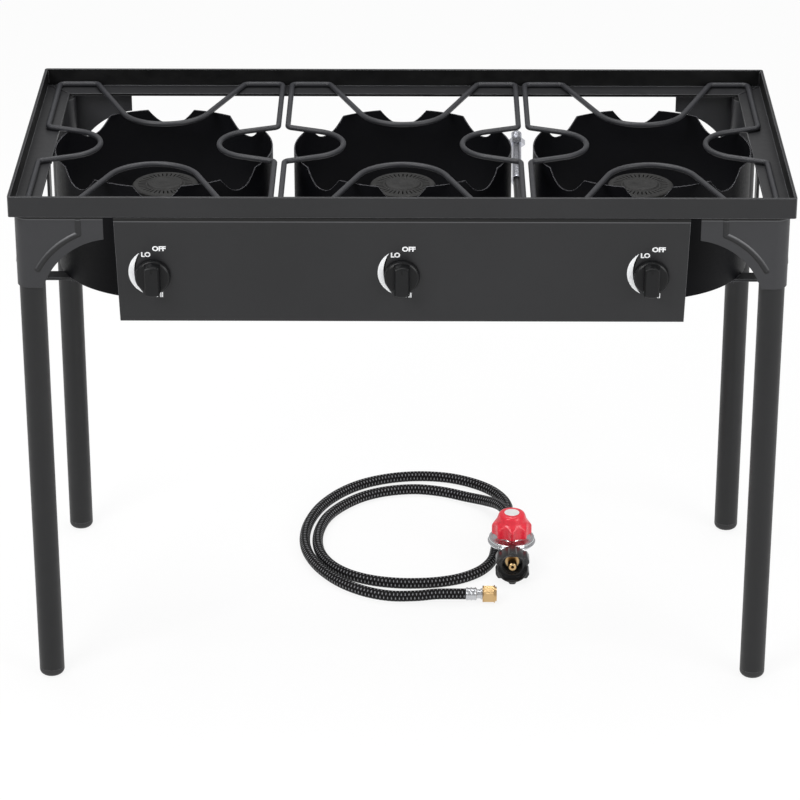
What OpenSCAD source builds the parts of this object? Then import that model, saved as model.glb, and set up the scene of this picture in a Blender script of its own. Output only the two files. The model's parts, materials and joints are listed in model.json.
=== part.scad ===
// Three-burner propane stand: a welded angle-steel frame on four removable legs, with three
// windshield drums, burners and pot grates, a front control panel, and a hose with its regulator.
// Millimetres. X runs along the stand, -Y is the front with the knobs, Z = 0 is the floor, and
// the origin is the middle of the frame.

/* [Overall] */
// Width of the top frame over the rim
frame_w = 1100; // [1090:5:1200]
// Depth of the top frame over the rim
frame_d = 530; // [525:5:600]
// Height of the rim above the floor
stand_h = 775; // [700:5:900]

/* [Rim] */
// Height of the rim angle's upright side
rim_h = 30; // [26:1:36]
// Width of the rim angle's flat side
rim_flange = 40; // [36:1:44]
// Thickness of the rim angle
rim_t = 4; // [3:0.5:5]
// Radius of the rim's outer corners
rim_corner_r = 4; // [2:1:8]

/* [Legs] */
// Outside diameter of a leg tube
leg_dia = 37; // [32:1:42]
// Wall of a leg tube
leg_wall = 1.5; // [1.2:0.1:2.5]
// Height of the glide under a leg
foot_h = 12; // [10:1:20]
// Radius round the bottom of the glide
foot_round = 8; // [4:1:9]
// Depth that the glide's plug reaches into the tube
foot_plug = 18; // [10:1:30]

/* [Corner brackets] */
// Sheet thickness of a bracket
bracket_t = 2; // [1.5:0.5:3]
// Height of a bracket at its corner
bracket_h = 110; // [95:1:125]
// Length of a bracket wing past the leg's axis
bracket_wing = 105; // [100:1:115]
// Radius of the curved lower edge of a wing
wing_arc_r = 106; // [104:1:110]
// Distance that a bracket sits in from the rim's outer face
bracket_inset = 6; // [3:1:10]
// Width of the pressed bead
bead_w = 9; // [6:1:12]
// Height of the pressed bead
bead_proud = 2; // [1:0.5:3]
// Distance from the wing's lower edge to the middle of the bead
bead_margin = 17; // [14:1:22]

/* [Leg screws] */
// Shank diameter of a ring-headed leg screw
screw_dia = 6; // [5:0.5:8]
// Height of the leg screw below the rim
screw_drop = 72; // [60:1:80]
// Wire diameter of the screw's ring
ring_wire = 4; // [3:0.5:5]
// Outside diameter of the screw's ring
ring_dia = 30; // [24:1:36]
// Turn of the ring about its shank at rest
ring_turn = 37; // [0:1:90]

/* [Drums] */
// Distance between neighbouring burners
burner_pitch = 350; // [345:1:360]
// Outside diameter of a windshield drum
drum_dia = 319; // [300:1:319]
// Sheet thickness of a drum
drum_t = 1.5; // [1:0.1:2]
// Height of a drum
drum_h = 173.5; // [160:0.5:176]
// Gap from the grate rods down to the drum's crown
crown_gap = 0.8; // [0.5:0.1:6]
// Depth of the scallops in the crown
scallop_depth = 23; // [15:1:30]
// Half the width of a scallop at the crown
scallop_half = 34.5; // [28:0.5:36]
// Angle of the diagonal scallops from the front and rear
scallop_angle = 47; // [44:1:50]
// Width of the lip turned in at the bottom
lip_w = 15; // [13:1:18]
// Width of the slot that clears the burner's mixing tube
slot_w = 34; // [32:1:38]

/* [Grates] */
// Distance between neighbouring grates
grate_pitch = 356; // [355:1:362]
// Rod diameter of a grate
rod_dia = 8; // [7:0.5:9]
// Half the width of a grate to its rod's middle
grate_half_w = 171; // [165:1:172]
// Gap between the end of a grate rod and the rim wall
grate_end_gap = 1; // [0.5:0.5:4]
// Half the mouth of the front and rear fingers
end_mouth = 113; // [105:1:120]
// Half the mouth of the side fingers
side_mouth = 70; // [60:1:80]
// Taper of the fingers' sides
finger_taper = 21; // [18:1:24]
// Radius round the tip of the front and rear fingers
end_tip_r = 67; // [60:1:72]
// Radius round the tip of the side fingers
side_tip_r = 55; // [48:1:60]
// Bend radius at the corners of a grate
rod_bend_r = 9; // [8:1:14]

/* [Burners] */
// Height of the burner's rim below the stand's rim
burner_drop = 87; // [80:1:95]
// Diameter of a burner head
burner_dia = 96; // [88:1:104]
// Height of a burner head's bowl
bowl_h = 50; // [46:1:56]
// Wall of the cast burner
cast_wall = 5; // [4:0.5:6]
// Outside diameter of the mixing tube
tube_dia = 30; // [26:1:31]
// Diameter of the air inlet plate
inlet_dia = 44; // [42:1:48]
// Number of flame ports in a cap
port_count = 36; // [24:1:40]
// Width of a flame port
port_w = 1.8; // [1.2:0.1:2.4]
// Diameter of the cap's raised middle
cap_centre_dia = 52; // [46:1:56]

/* [Gas train] */
// Height of the valve and knob axis below the rim
valve_drop = 117.5; // [110:0.5:125]
// Height of the manifold below the valve axis
manifold_drop = 51.5; // [46:0.5:56]
// Outside diameter of the manifold pipe
manifold_dia = 21.3; // [18:0.1:24]
// Wall of the manifold pipe
manifold_wall = 2.3; // [2:0.1:3]
// Outside diameter of the feed pipe
feed_dia = 12; // [10:0.5:14]
// Outside diameter of the inlet tube
inlet_tube_dia = 15; // [14:0.5:17]
// Length of the inlet tube along its slope
inlet_len = 58; // [50:1:62]
// Diameter of the flare thread at the gas inlet
thread_dia = 15.9; // [14:0.1:19]
// Slope of the inlet tube
inlet_slope = 45; // [30:1:55]

/* [Control panel] */
// Width of the panel at its top
panel_w = 806; // [800:2:816]
// Width of the panel at its bottom
panel_foot_w = 796; // [780:2:800]
// Height of the panel
panel_h = 158; // [150:1:170]
// Sheet thickness of the panel
panel_t = 2; // [1.5:0.5:3]
// Distance that the panel stands in front of the rim
panel_proud = 1; // [0:0.5:3]
// Outer bend radius of the panel
panel_bend = 3; // [3:0.5:6]

/* [Knobs] */
// Diameter of a knob's skirt
knob_dia = 50; // [44:1:56]
// Height of the skirt
skirt_h = 9; // [7:1:12]
// Height of the knob over the grip
knob_h = 26; // [22:1:32]
// Width of the grip bar
grip_w = 21; // [18:1:24]
// Length of the grip bar
grip_len = 46; // [40:1:50]
// Diameter of a valve stem
stem_dia = 8; // [6:0.5:9]

/* [Regulator] */
// Diameter of the regulator's housing
reg_dia = 76; // [70:1:82]
// Outside diameter of the tank nut over its ribs
tank_nut_dia = 57; // [52:1:60]
// Length of the tank nut
tank_nut_len = 38; // [34:1:42]
// Diameter of the thread inside the tank nut
tank_thread_dia = 33.4; // [30:0.1:36]
// Diameter of the regulator's knob over its lobes
reg_knob_dia = 64; // [58:1:68]
// Width across the flats of the hose's flare nut
flare_af = 25; // [23:1:27]
// Length of the flare nut
flare_len = 22; // [18:1:26]

/* [Fits] */
// Clearance round a part that slides or turns in a sheet or tube
slide_gap = 0.4; // [0.3:0.05:0.6]
// Radial clearance of a shaft in its bore
run_gap = 0.05; // [0.03:0.01:0.1]
// Gap under a part that lifts off, and in front of one that turns on a face
seat_gap = 0.3; // [0.2:0.05:0.5]
// Radial clearance of a bolt in a plain hole
bolt_gap = 0.3; // [0.2:0.05:0.5]

/* [Hidden] */
$fn = 64;
eps = 0.01;

// The two ends of a row: left is -1, the middle 0, right 1. Front is -1 and rear 1.
LEFT = -1;
CENTRE = 0;
RIGHT = 1;
FRONT = -1;
REAR = 1;

// Heights
rim_z = stand_h - rim_h;
flange_z = rim_z + rim_t;
rod_z = flange_z + seat_gap + rod_dia / 2;
crown_z = flange_z + seat_gap - crown_gap;
drum_z = crown_z - drum_h;
burner_z = stand_h - burner_drop;
valve_z = stand_h - valve_drop;
manifold_z = valve_z - manifold_drop;
bowl_z = burner_z - bowl_h;

// Legs and brackets
leg_r = leg_dia / 2;
socket_r = leg_r + slide_gap;
bracket_r = socket_r + bracket_t;
leg_x = frame_w / 2 - bracket_inset - bracket_r;
leg_y = frame_d / 2 - bracket_inset - bracket_r;
socket_h = bracket_h - 5;
arc_x = -(socket_r + wing_arc_r) + 6.3;
arc_z = rim_z - bracket_h - 31;
bead_r = wing_arc_r + bead_margin;
bead_x = -70;
bead_start = 29;
bead_end = acos((bead_x - arc_x) / bead_r);

// Leg screws, measured along the diagonal from the leg's axis
screw_z = rim_z - screw_drop;
nut_af = screw_dia * 5 / 3;
nut_t = screw_dia * 0.85;
screw_tip = leg_r + seat_gap;
ring_mean_r = (ring_dia - ring_wire) / 2;
ring_dist = bracket_r + nut_t + 10 + ring_mean_r;

// Support bars under the drums and the straps inside them
bar_w = 25;
bar_t = 4;
bar_y = 70;
bar_bend = 6;
bar_end = frame_w / 2 - rim_flange / 2 + bar_t / 2 - 1;
strap_t = 3;
drum_r = drum_dia / 2;
drum_in = drum_r - drum_t;
strap_end = sqrt(drum_in * drum_in - bar_w * bar_w / 4) - 0.1;
strap_tab = 23;
boss_h = 4;
strap_z = bowl_z - boss_h - strap_t;
strap_bolt_z = strap_z - strap_tab / 2 + strap_t;
lip_bolt_r = drum_in - lip_w / 2 + 1;
lip_bolt_x = sqrt(lip_bolt_r * lip_bolt_r - bar_y * bar_y);
m6 = 6;
m5 = 5;

// Control panel and knobs
panel_y = -frame_d / 2 - panel_proud;
panel_back = panel_y + panel_t;
panel_z = rim_z - panel_h;
panel_return = 26;
panel_lip = 10;
knob_y = panel_y - 1;

// Gas train, front to rear
valve_body_len = 22;
valve_nose_len = 16;
valve_y = panel_back + valve_body_len;
jet_y = valve_y + valve_nose_len;
jet_hex_len = 8;
inlet_face_y = jet_y + 28;
hub_len = 4;
hub_r = 8;
plate_t = 4;
shutter_t = 1.2;
window_in = 9.5;
window_out = 18.5;
window_span = 50;
manifold_y = panel_back + 15;
manifold_end = burner_pitch + 35;
feed_x = burner_pitch / 2;
feed_y = manifold_y + 17;
feed_end = frame_d / 2 - 38;

// Regulator: its inlet and outlet share one axis along Y, and its housing stands on a vertical one
reg_x = 172;
reg_y = 115;
reg_axis_z = 29;
housing_z = reg_axis_z + 9;
knob_base_z = housing_z + 14;
nut_back_y = reg_y - reg_dia / 2 - 3;
nut_front_y = nut_back_y - tank_nut_len;
outlet_y = reg_y + 34;

// Hose: outside diameter, and the points that it follows on the floor, round numbers
hose_dia = 17;
hose_sides = 10;
hose_path = [
    [172, 175, 29], [172, 200, 29], [168, 229, 29], [156, 262, 26], [136, 294, 17],
    [105, 322, 10], [64, 343, 9], [20, 352, 9], [-26, 345, 9], [-66, 325, 9],
    [-99, 292, 9], [-123, 252, 9], [-135, 206, 9], [-137, 160, 9], [-129, 118, 9],
    [-111, 82, 9], [-84, 54, 9], [-50, 36, 9], [-12, 27, 9], [26, 26, 9],
    [60, 31, 9], [90, 42, 9], [115, 60, 9], [132, 82, 9], [143, 109, 9],
    [148, 142, 9], [154, 182, 9], [163, 222, 9], [170, 262, 9], [168, 301, 9],
    [151, 339, 9], [121, 370, 9], [77, 393, 9], [27, 400, 9], [-23, 392, 9],
    [-69, 370, 9], [-106, 335, 9], [-134, 290, 9], [-151, 240, 9], [-158, 190, 9],
    [-155, 142, 9], [-141, 96, 9], [-119, 56, 9], [-91, 23, 9], [-56, -2, 9],
    [-18, -16, 9.5], [22, -20, 12], [50, -20, 15], [74, -20, 15.5], [98, -20, 15.5]
];
ferrule_len = 26;
flare_x = 98 + ferrule_len;
flare_y = -20;
flare_z = 15.5;
flare_floor = 6;
flare_stem_r = 6;

// ---------------------------------------------------------------- shared shapes

// Rectangle with round corners
module round_rect(w, d, r) {
    square([w - 2 * r, d], center = true);
    square([w, d - 2 * r], center = true);
    for (x = [-1, 1], y = [-1, 1])
        translate([x * (w / 2 - r), y * (d / 2 - r)]) circle(r);
}

// Cylinder along Y, from y0 to y1
module y_rod(r, y0, y1) {
    translate([0, y0, 0]) rotate([-90, 0, 0]) cylinder(r = r, h = y1 - y0);
}

// Cylinder along X, from x0 to x1
module x_rod(r, x0, x1) {
    translate([x0, 0, 0]) rotate([0, 90, 0]) cylinder(r = r, h = x1 - x0);
}

// Hexagonal prism by its width across the flats
module hex(af, h) {
    cylinder(r = af / sqrt(3), h = h, $fn = 6);
}

// Hexagonal nut round a bolt
module hex_nut(af, h, bolt) {
    difference() {
        hex(af, h);
        translate([0, 0, -1]) cylinder(r = bolt / 2 + run_gap, h = h + 2);
    }
}

// Hex-headed bolt hanging down from z = 0 under its head, with a nut whose top is at -grip
module bolt_and_nut(dia, grip) {
    af = dia * 1.65;
    nut = dia * 0.8;
    hex(af, dia * 0.65);
    translate([0, 0, -grip - nut - 3]) cylinder(d = dia, h = grip + nut + 3 + eps);
    translate([0, 0, -grip - nut]) hex_nut(af, nut, dia);
}

// Sector of a ring between two radii, centred on angle 0
module ring_sector(r0, r1, span, h) {
    rotate([0, 0, -span / 2]) rotate_extrude(angle = span) translate([r0, 0]) square([r1 - r0, h]);
}

// Unit vector, and the signed turn between two directions
function unit(v) = v / norm(v);
function turn(a, b) = atan2(a[0] * b[1] - a[1] * b[0], a * b);

// Closed loop of round rod through corner points [x, y, bend radius], in the XY plane; the bends
// are a hair thicker than the straight lengths, which end just inside them
module rod_loop(corners, dia) {
    n = len(corners);
    pts = [for (c = corners) [c[0], c[1]]];
    dirs = [for (i = [0 : n - 1]) unit(pts[(i + 1) % n] - pts[i])];
    turns = [for (i = [0 : n - 1]) turn(dirs[(i + n - 1) % n], dirs[i])];
    cuts = [for (i = [0 : n - 1]) corners[i][2] * tan(abs(turns[i]) / 2)];
    for (i = [0 : n - 1]) {
        j = (i + 1) % n;
        start = pts[i] + dirs[i] * cuts[i];
        run = norm(pts[j] - pts[i]) - cuts[i] - cuts[j];
        heading = atan2(dirs[i][1], dirs[i][0]);
        translate([start[0], start[1], 0]) rotate([0, 0, heading]) x_rod(dia / 2, -eps, run + eps);
        side = sign(turns[i]);
        centre = start + corners[i][2] * side * [-dirs[i][1], dirs[i][0]];
        first = heading - 90 * side - (side > 0 ? turns[i] : 0);
        translate([centre[0], centre[1], 0]) rotate([0, 0, first])
            rotate_extrude(angle = abs(turns[i])) translate([corners[i][2], 0])
                circle(d = dia + 4 * eps);
    }
}

// ---------------------------------------------------------------- frame

// The whole rim: an upright wall round the outside and a flat flange turned in at its foot
module rim_ring() {
    difference() {
        translate([0, 0, rim_z]) linear_extrude(rim_h) round_rect(frame_w, frame_d, rim_corner_r);
        translate([-frame_w / 2 + rim_t, -frame_d / 2 + rim_t, flange_z])
            cube([frame_w - 2 * rim_t, frame_d - 2 * rim_t, rim_h]);
        translate([-frame_w / 2 + rim_flange, -frame_d / 2 + rim_flange, rim_z - 1])
            cube([frame_w - 2 * rim_flange, frame_d - 2 * rim_flange, rim_h]);
    }
}

// One length of the rim, mitred at both ends; length runs along X on the side y = -depth / 2
module mitred_rail(length, depth) {
    translate([0, 0, rim_z - 1]) linear_extrude(rim_h + 2) polygon([
        [-length / 2, -depth / 2], [length / 2, -depth / 2],
        [length / 2 - rim_flange - 1, -depth / 2 + rim_flange + 1],
        [-length / 2 + rim_flange + 1, -depth / 2 + rim_flange + 1]
    ]);
}

module long_rail(side) {
    intersection() {
        rim_ring();
        rotate([0, 0, side == REAR ? 180 : 0]) mitred_rail(frame_w, frame_d);
    }
}

module end_rail(side) {
    intersection() {
        rim_ring();
        rotate([0, 0, side == RIGHT ? 90 : -90]) mitred_rail(frame_d, frame_w);
    }
}

module rail_front() {
    color("#303134") long_rail(FRONT);
}

module rail_rear() {
    color("#303134") long_rail(REAR);
}

module rail_left() {
    color("#303134") end_rail(LEFT);
}

module rail_right() {
    color("#303134") end_rail(RIGHT);
}

// ---------------------------------------------------------------- corner brackets

// Puts a shape made for the corner at +X, +Y, about the leg's axis, at any corner
module at_corner(sx, sy) {
    translate([sx * leg_x, sy * leg_y, 0])
        mirror([sx < 0 ? 1 : 0, 0, 0]) mirror([0, sy < 0 ? 1 : 0, 0]) children();
}

// Turns a shape drawn in XY with its face towards +Z into the plane of the rear wing
module in_wing() {
    mirror([0, 1, 0]) rotate([90, 0, 0]) children();
}

// Section of the bead above the sheet, at distance d from the axis
module bead_section(d) {
    depth = (bead_w * bead_w / 4 - bead_proud * bead_proud) / (2 * bead_proud);
    intersection() {
        translate([d, -depth]) circle(depth + bead_proud);
        translate([d - bead_w / 2, 0]) square([bead_w, bead_proud + 1]);
    }
}

// Round end of the bead
module bead_dome() {
    rotate_extrude() intersection() {
        bead_section(0);
        square([bead_w, bead_w]);
    }
}

// Bead: an arc beside the wing's lower edge, then straight up to the rim
module bead() {
    translate([arc_x, arc_z, 0]) {
        rotate([0, 0, bead_start]) rotate_extrude(angle = bead_end - bead_start, $fn = 160)
            bead_section(bead_r);
        rotate([0, 0, bead_start]) translate([bead_r, 0, 0]) bead_dome();
    }
    knee_z = arc_z + bead_r * sin(bead_end);
    translate([bead_x, knee_z, 0]) {
        bead_dome();
        rotate([-90, 0, 0]) mirror([0, 1, 0]) linear_extrude(rim_z - knee_z) bead_section(0);
    }
}

// One wing: flat sheet with a curved lower edge, and its bead
module wing() {
    difference() {
        translate([-bracket_wing, socket_r, rim_z - bracket_h])
            cube([bracket_wing, bracket_t, bracket_h]);
        translate([arc_x, 0, arc_z]) rotate([-90, 0, 0])
            cylinder(r = wing_arc_r, h = 3 * leg_r, $fn = 160);
    }
    translate([0, bracket_r, 0]) in_wing() bead();
}

// Direction of the leg screw: towards the middle of the stand, with its length along +Z
module along_screw() {
    translate([0, 0, screw_z]) rotate([0, 0, 225]) rotate([0, 90, 0]) children();
}

// Bracket with its two wings, the socket that the leg slides into, and the welded nut
module corner_bracket() {
    difference() {
        union() {
            wing();
            mirror([1, -1, 0]) wing();
            difference() {
                union() {
                    translate([0, 0, rim_z - socket_h]) cylinder(r = bracket_r, h = socket_h);
                    translate([0, 0, rim_z - bracket_h]) intersection() {
                        cylinder(r = bracket_r, h = bracket_h);
                        cube([bracket_r, bracket_r, bracket_h]);
                    }
                }
                translate([0, 0, rim_z - bracket_h - 1]) cylinder(r = socket_r, h = bracket_h + 2);
            }
            along_screw() translate([0, 0, bracket_r - 0.6]) hex(nut_af, nut_t + 0.6);
        }
        along_screw() translate([0, 0, leg_r]) cylinder(d = screw_dia + 2 * run_gap, h = 20);
    }
}

module bracket_front_left() {
    color("#3b3c3f") at_corner(LEFT, FRONT) corner_bracket();
}

module bracket_front_right() {
    color("#3b3c3f") at_corner(RIGHT, FRONT) corner_bracket();
}

module bracket_rear_left() {
    color("#3b3c3f") at_corner(LEFT, REAR) corner_bracket();
}

module bracket_rear_right() {
    color("#3b3c3f") at_corner(RIGHT, REAR) corner_bracket();
}

// ---------------------------------------------------------------- legs, glides and screws

module leg_tube() {
    translate([0, 0, foot_h]) difference() {
        cylinder(r = leg_r, h = rim_z - foot_h);
        translate([0, 0, -1]) cylinder(r = leg_r - leg_wall, h = rim_z);
    }
}

// Glide: a rounded foot with a plug inside the tube
module glide() {
    flat_r = leg_r - foot_round;
    rotate_extrude() {
        square([flat_r, foot_h]);
        translate([0, foot_round]) square([leg_r, foot_h - foot_round]);
        intersection() {
            translate([flat_r, foot_round]) circle(foot_round);
            square([leg_r, foot_h]);
        }
    }
    translate([0, 0, foot_h - eps])
        cylinder(r = leg_r - leg_wall - run_gap, h = foot_plug + eps);
}

// Screw whose tip bears on the leg, with a wire ring to turn it by
module leg_screw() {
    along_screw() {
        translate([0, 0, screw_tip]) cylinder(d = screw_dia, h = ring_dist - ring_mean_r - screw_tip);
        translate([0, 0, ring_dist]) rotate([0, 0, 90 + ring_turn]) rotate([90, 0, 0])
            rotate_extrude() translate([ring_mean_r, 0]) circle(d = ring_wire);
    }
}

module leg_front_left() {
    color("#37383a") at_corner(LEFT, FRONT) leg_tube();
}

module leg_front_right() {
    color("#37383a") at_corner(RIGHT, FRONT) leg_tube();
}

module leg_rear_left() {
    color("#37383a") at_corner(LEFT, REAR) leg_tube();
}

module leg_rear_right() {
    color("#37383a") at_corner(RIGHT, REAR) leg_tube();
}

module glide_front_left() {
    color("#2a2a2c") at_corner(LEFT, FRONT) glide();
}

module glide_front_right() {
    color("#2a2a2c") at_corner(RIGHT, FRONT) glide();
}

module glide_rear_left() {
    color("#2a2a2c") at_corner(LEFT, REAR) glide();
}

module glide_rear_right() {
    color("#2a2a2c") at_corner(RIGHT, REAR) glide();
}

module leg_screw_front_left() {
    color("#1b1b1d") at_corner(LEFT, FRONT) leg_screw();
}

module leg_screw_front_right() {
    color("#1b1b1d") at_corner(RIGHT, FRONT) leg_screw();
}

module leg_screw_rear_left() {
    color("#1b1b1d") at_corner(LEFT, REAR) leg_screw();
}

module leg_screw_rear_right() {
    color("#1b1b1d") at_corner(RIGHT, REAR) leg_screw();
}

// ---------------------------------------------------------------- supports

// Flat bar bent up at both ends, seen from the front: half width w, from z0 up to z1
module bent_bar(w, z0, z1) {
    square_len = 2 * (w - bar_bend);
    translate([-square_len / 2, z0]) square([square_len, bar_t]);
    for (s = [-1, 1]) {
        translate([s > 0 ? w - bar_t : -w, z0 + bar_bend]) square([bar_t, z1 - z0 - bar_bend]);
        translate([s * (w - bar_bend), z0 + bar_bend]) intersection() {
            difference() {
                circle(bar_bend);
                circle(bar_bend - bar_t);
            }
            translate([s > 0 ? 0 : -bar_bend, -bar_bend]) square(bar_bend);
        }
    }
}

// Places children under each of the four bolts of each drum
module at_lip_bolts() {
    for (i = [-1 : 1], sx = [-1, 1], sy = [-1, 1])
        translate([i * burner_pitch + sx * lip_bolt_x, sy * bar_y, 0]) children();
}

// One long bar under the drums, its ends welded to the underside of the end rails
module cross_bar(side) {
    difference() {
        translate([0, side * bar_y, 0]) rotate([90, 0, 0])
            linear_extrude(bar_w, center = true) bent_bar(bar_end, drum_z - bar_t, rim_z);
        at_lip_bolts() translate([0, 0, drum_z - bar_t - 1])
            cylinder(d = m5 + 2 * bolt_gap, h = bar_t + 2);
    }
}

// Strap across a drum that carries the burner, its ends turned down against the drum
module burner_strap() {
    difference() {
        union() {
            translate([-strap_end, -bar_w / 2, strap_z]) cube([2 * strap_end, bar_w, strap_t]);
            for (s = [-1, 1])
                translate([s > 0 ? strap_end - strap_t : -strap_end, -bar_w / 2,
                        strap_z + strap_t - strap_tab])
                    cube([strap_t, bar_w, strap_tab]);
        }
        translate([0, 0, strap_z - 1]) cylinder(d = m6 + 2 * bolt_gap, h = strap_t + 2);
        translate([0, 0, strap_bolt_z]) x_rod(m6 / 2 + bolt_gap, -drum_r, drum_r);
    }
}

module support_bars() {
    color("#2c2d2f") {
        for (side = [FRONT, REAR]) cross_bar(side);
        for (i = [-1 : 1]) translate([i * burner_pitch, 0, 0]) burner_strap();
    }
}

// ---------------------------------------------------------------- windshield drums

// Outline of one scallop, hanging from the crown at y = 0 and running a little past it
module scallop() {
    steps = 9;
    past = 1.1;
    function dip(u) = -scallop_depth * cos(90 * pow(abs(u), 1.25));
    polygon([for (i = [-steps : steps]) let (u = past * i / steps) [scallop_half * u, dip(u)]]);
}

module wind_guard(i) {
    scallops = [0, scallop_angle, 180 - scallop_angle, 180, 180 + scallop_angle, -scallop_angle];
    translate([i * burner_pitch, 0, 0]) difference() {
        union() {
            translate([0, 0, drum_z]) difference() {
                cylinder(r = drum_r, h = drum_h, $fn = 128);
                translate([0, 0, -1]) cylinder(r = drum_in, h = drum_h + 2, $fn = 128);
            }
            translate([0, 0, drum_z]) difference() {
                cylinder(r = drum_r - eps, h = drum_t, $fn = 128);
                translate([0, 0, -1]) cylinder(r = drum_in - lip_w, h = drum_t + 2, $fn = 128);
            }
        }
        for (a = scallops)
            rotate([0, 0, a]) translate([0, 0, crown_z]) rotate([90, 0, 0])
                linear_extrude(drum_r + 10) scallop();
        translate([0, 0, valve_z]) y_rod(slot_w / 2, -drum_r - 10, -drum_r / 2);
        translate([-slot_w / 2, -drum_r - 10, drum_z - 1])
            cube([slot_w, drum_r / 2, valve_z - drum_z + 1]);
        translate([0, 0, strap_bolt_z]) x_rod(m6 / 2 + bolt_gap, -drum_r - 1, drum_r + 1);
        for (sx = [-1, 1], sy = [-1, 1])
            translate([sx * lip_bolt_x, sy * bar_y, drum_z - 1])
                cylinder(d = m5 + 2 * bolt_gap, h = drum_t + 2);
    }
}

module wind_guard_left() {
    color("#26272b") wind_guard(LEFT);
}

module wind_guard_centre() {
    color("#26272b") wind_guard(CENTRE);
}

module wind_guard_right() {
    color("#26272b") wind_guard(RIGHT);
}

// Bolts that hold the drums to the long bars
module guard_bolts() {
    color("#8d8f93") at_lip_bolts() translate([0, 0, drum_z + drum_t])
        bolt_and_nut(m5, drum_t + bar_t);
}

// ---------------------------------------------------------------- grates

module grate(i) {
    end_y = frame_d / 2 - rim_t - grate_end_gap - rod_dia / 2;
    end_apex = end_y - end_mouth / tan(finger_taper);
    side_apex = grate_half_w - side_mouth / tan(finger_taper);
    quarter = [
        [grate_half_w, end_y, rod_bend_r], [end_mouth, end_y, rod_bend_r],
        [0, end_apex, end_tip_r]
    ];
    top = concat(quarter, [[-end_mouth, end_y, rod_bend_r], [-grate_half_w, end_y, rod_bend_r]]);
    left = [
        [-grate_half_w, side_mouth, rod_bend_r], [-side_apex, 0, side_tip_r],
        [-grate_half_w, -side_mouth, rod_bend_r]
    ];
    half = concat(top, left);
    corners = concat(half, [for (c = half) [-c[0], -c[1], c[2]]]);
    translate([i * grate_pitch, 0, rod_z]) rod_loop(corners, rod_dia);
}

module grate_left() {
    color("#46474c") grate(LEFT);
}

module grate_centre() {
    color("#46474c") grate(CENTRE);
}

module grate_right() {
    color("#46474c") grate(RIGHT);
}

// ---------------------------------------------------------------- burners

// Outside of the cast bowl, down to the boss that stands on the strap
module bowl_outside() {
    r = burner_dia / 2;
    rotate_extrude() polygon(concat(
        [[0, -boss_h], [14, -boss_h], [14, 0], [r * 0.6, 0]],
        [for (a = [15 : 15 : 90]) [r * 0.6 + (r * 0.4 - 1) * sin(a), (bowl_h - 16) * (1 - cos(a))]],
        [[r, bowl_h - 13], [r, bowl_h], [0, bowl_h]]
    ));
}

// Hollow inside the bowl, open at the top under the cap
module bowl_inside() {
    r = burner_dia / 2 - cast_wall;
    rotate_extrude() polygon([
        [0, cast_wall + 5], [r * 0.5, cast_wall + 5], [r * 0.8, cast_wall + 10],
        [r, bowl_h - 16], [r, bowl_h + 1], [0, bowl_h + 1]
    ]);
}

// Three windows for air, spaced round the inlet plate and the shutter alike
module air_windows(h) {
    for (a = [90, 210, 330]) rotate([0, 0, a]) ring_sector(window_in, window_out, window_span, h);
}

// Turns a shape with its axis along +Z to look towards the front, at the valve's height
module facing_front(y) {
    translate([0, y, valve_z]) rotate([90, 0, 0]) children();
}

module burner(i) {
    tube_r = tube_dia / 2;
    throat_r = tube_r - cast_wall;
    inlet_r = inlet_dia / 2;
    flare_len = 24;
    bell_y = inlet_face_y + plate_t + flare_len;
    translate([i * burner_pitch, 0, 0]) difference() {
        union() {
            translate([0, 0, bowl_z]) bowl_outside();
            translate([0, 0, valve_z]) y_rod(tube_r, bell_y - 1, 0);
            facing_front(bell_y) cylinder(r1 = tube_r, r2 = inlet_r, h = flare_len);
            facing_front(inlet_face_y + plate_t + eps) cylinder(r = inlet_r, h = plate_t + eps);
            facing_front(inlet_face_y + eps) cylinder(r = hub_r, h = hub_len + eps);
        }
        translate([0, 0, bowl_z]) bowl_inside();
        translate([0, 0, valve_z]) y_rod(throat_r, bell_y - 1, -10);
        facing_front(bell_y) cylinder(r1 = throat_r, r2 = window_out + 1, h = flare_len);
        facing_front(inlet_face_y + plate_t + 1) air_windows(plate_t + 2);
        facing_front(inlet_face_y + plate_t + 1) cylinder(r = 4.5, h = plate_t + hub_len + 2);
        translate([0, 0, bowl_z - boss_h - 1]) cylinder(d = m6 + 2 * run_gap, h = 11);
    }
}

module burner_left() {
    color("#2b2b2d") burner(LEFT);
}

module burner_centre() {
    color("#2b2b2d") burner(CENTRE);
}

module burner_right() {
    color("#2b2b2d") burner(RIGHT);
}

// Cap on the bowl: a ring of radial ports round a raised middle
module burner_cap(i) {
    cap_t = 3;
    skirt = 4;
    skirt_r = burner_dia / 2 - cast_wall - 0.2;
    middle_r = cap_centre_dia / 2;
    port_in = middle_r + 3;
    port_out = burner_dia / 2 - cast_wall - 3;
    translate([i * burner_pitch, 0, burner_z]) difference() {
        union() {
            rotate_extrude() polygon([
                [0, 0], [burner_dia / 2, 0], [burner_dia / 2, 1.5], [burner_dia / 2 - 2, cap_t],
                [middle_r + 1, cap_t], [middle_r - 1, cap_t + 2], [middle_r - 6, cap_t + 2.6],
                [0, cap_t + 1.6]
            ]);
            translate([0, 0, -skirt]) difference() {
                cylinder(r = skirt_r, h = skirt + eps);
                translate([0, 0, -1]) cylinder(r = skirt_r - 2, h = skirt + 1);
            }
        }
        for (k = [0 : port_count - 1])
            rotate([0, 0, k * 360 / port_count]) translate([port_in, -port_w / 2, -1])
                cube([port_out - port_in, port_w, cap_t + 2]);
    }
}

module burner_cap_left() {
    color("#3a3a3c") burner_cap(LEFT);
}

module burner_cap_centre() {
    color("#3a3a3c") burner_cap(CENTRE);
}

module burner_cap_right() {
    color("#3a3a3c") burner_cap(RIGHT);
}

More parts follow.
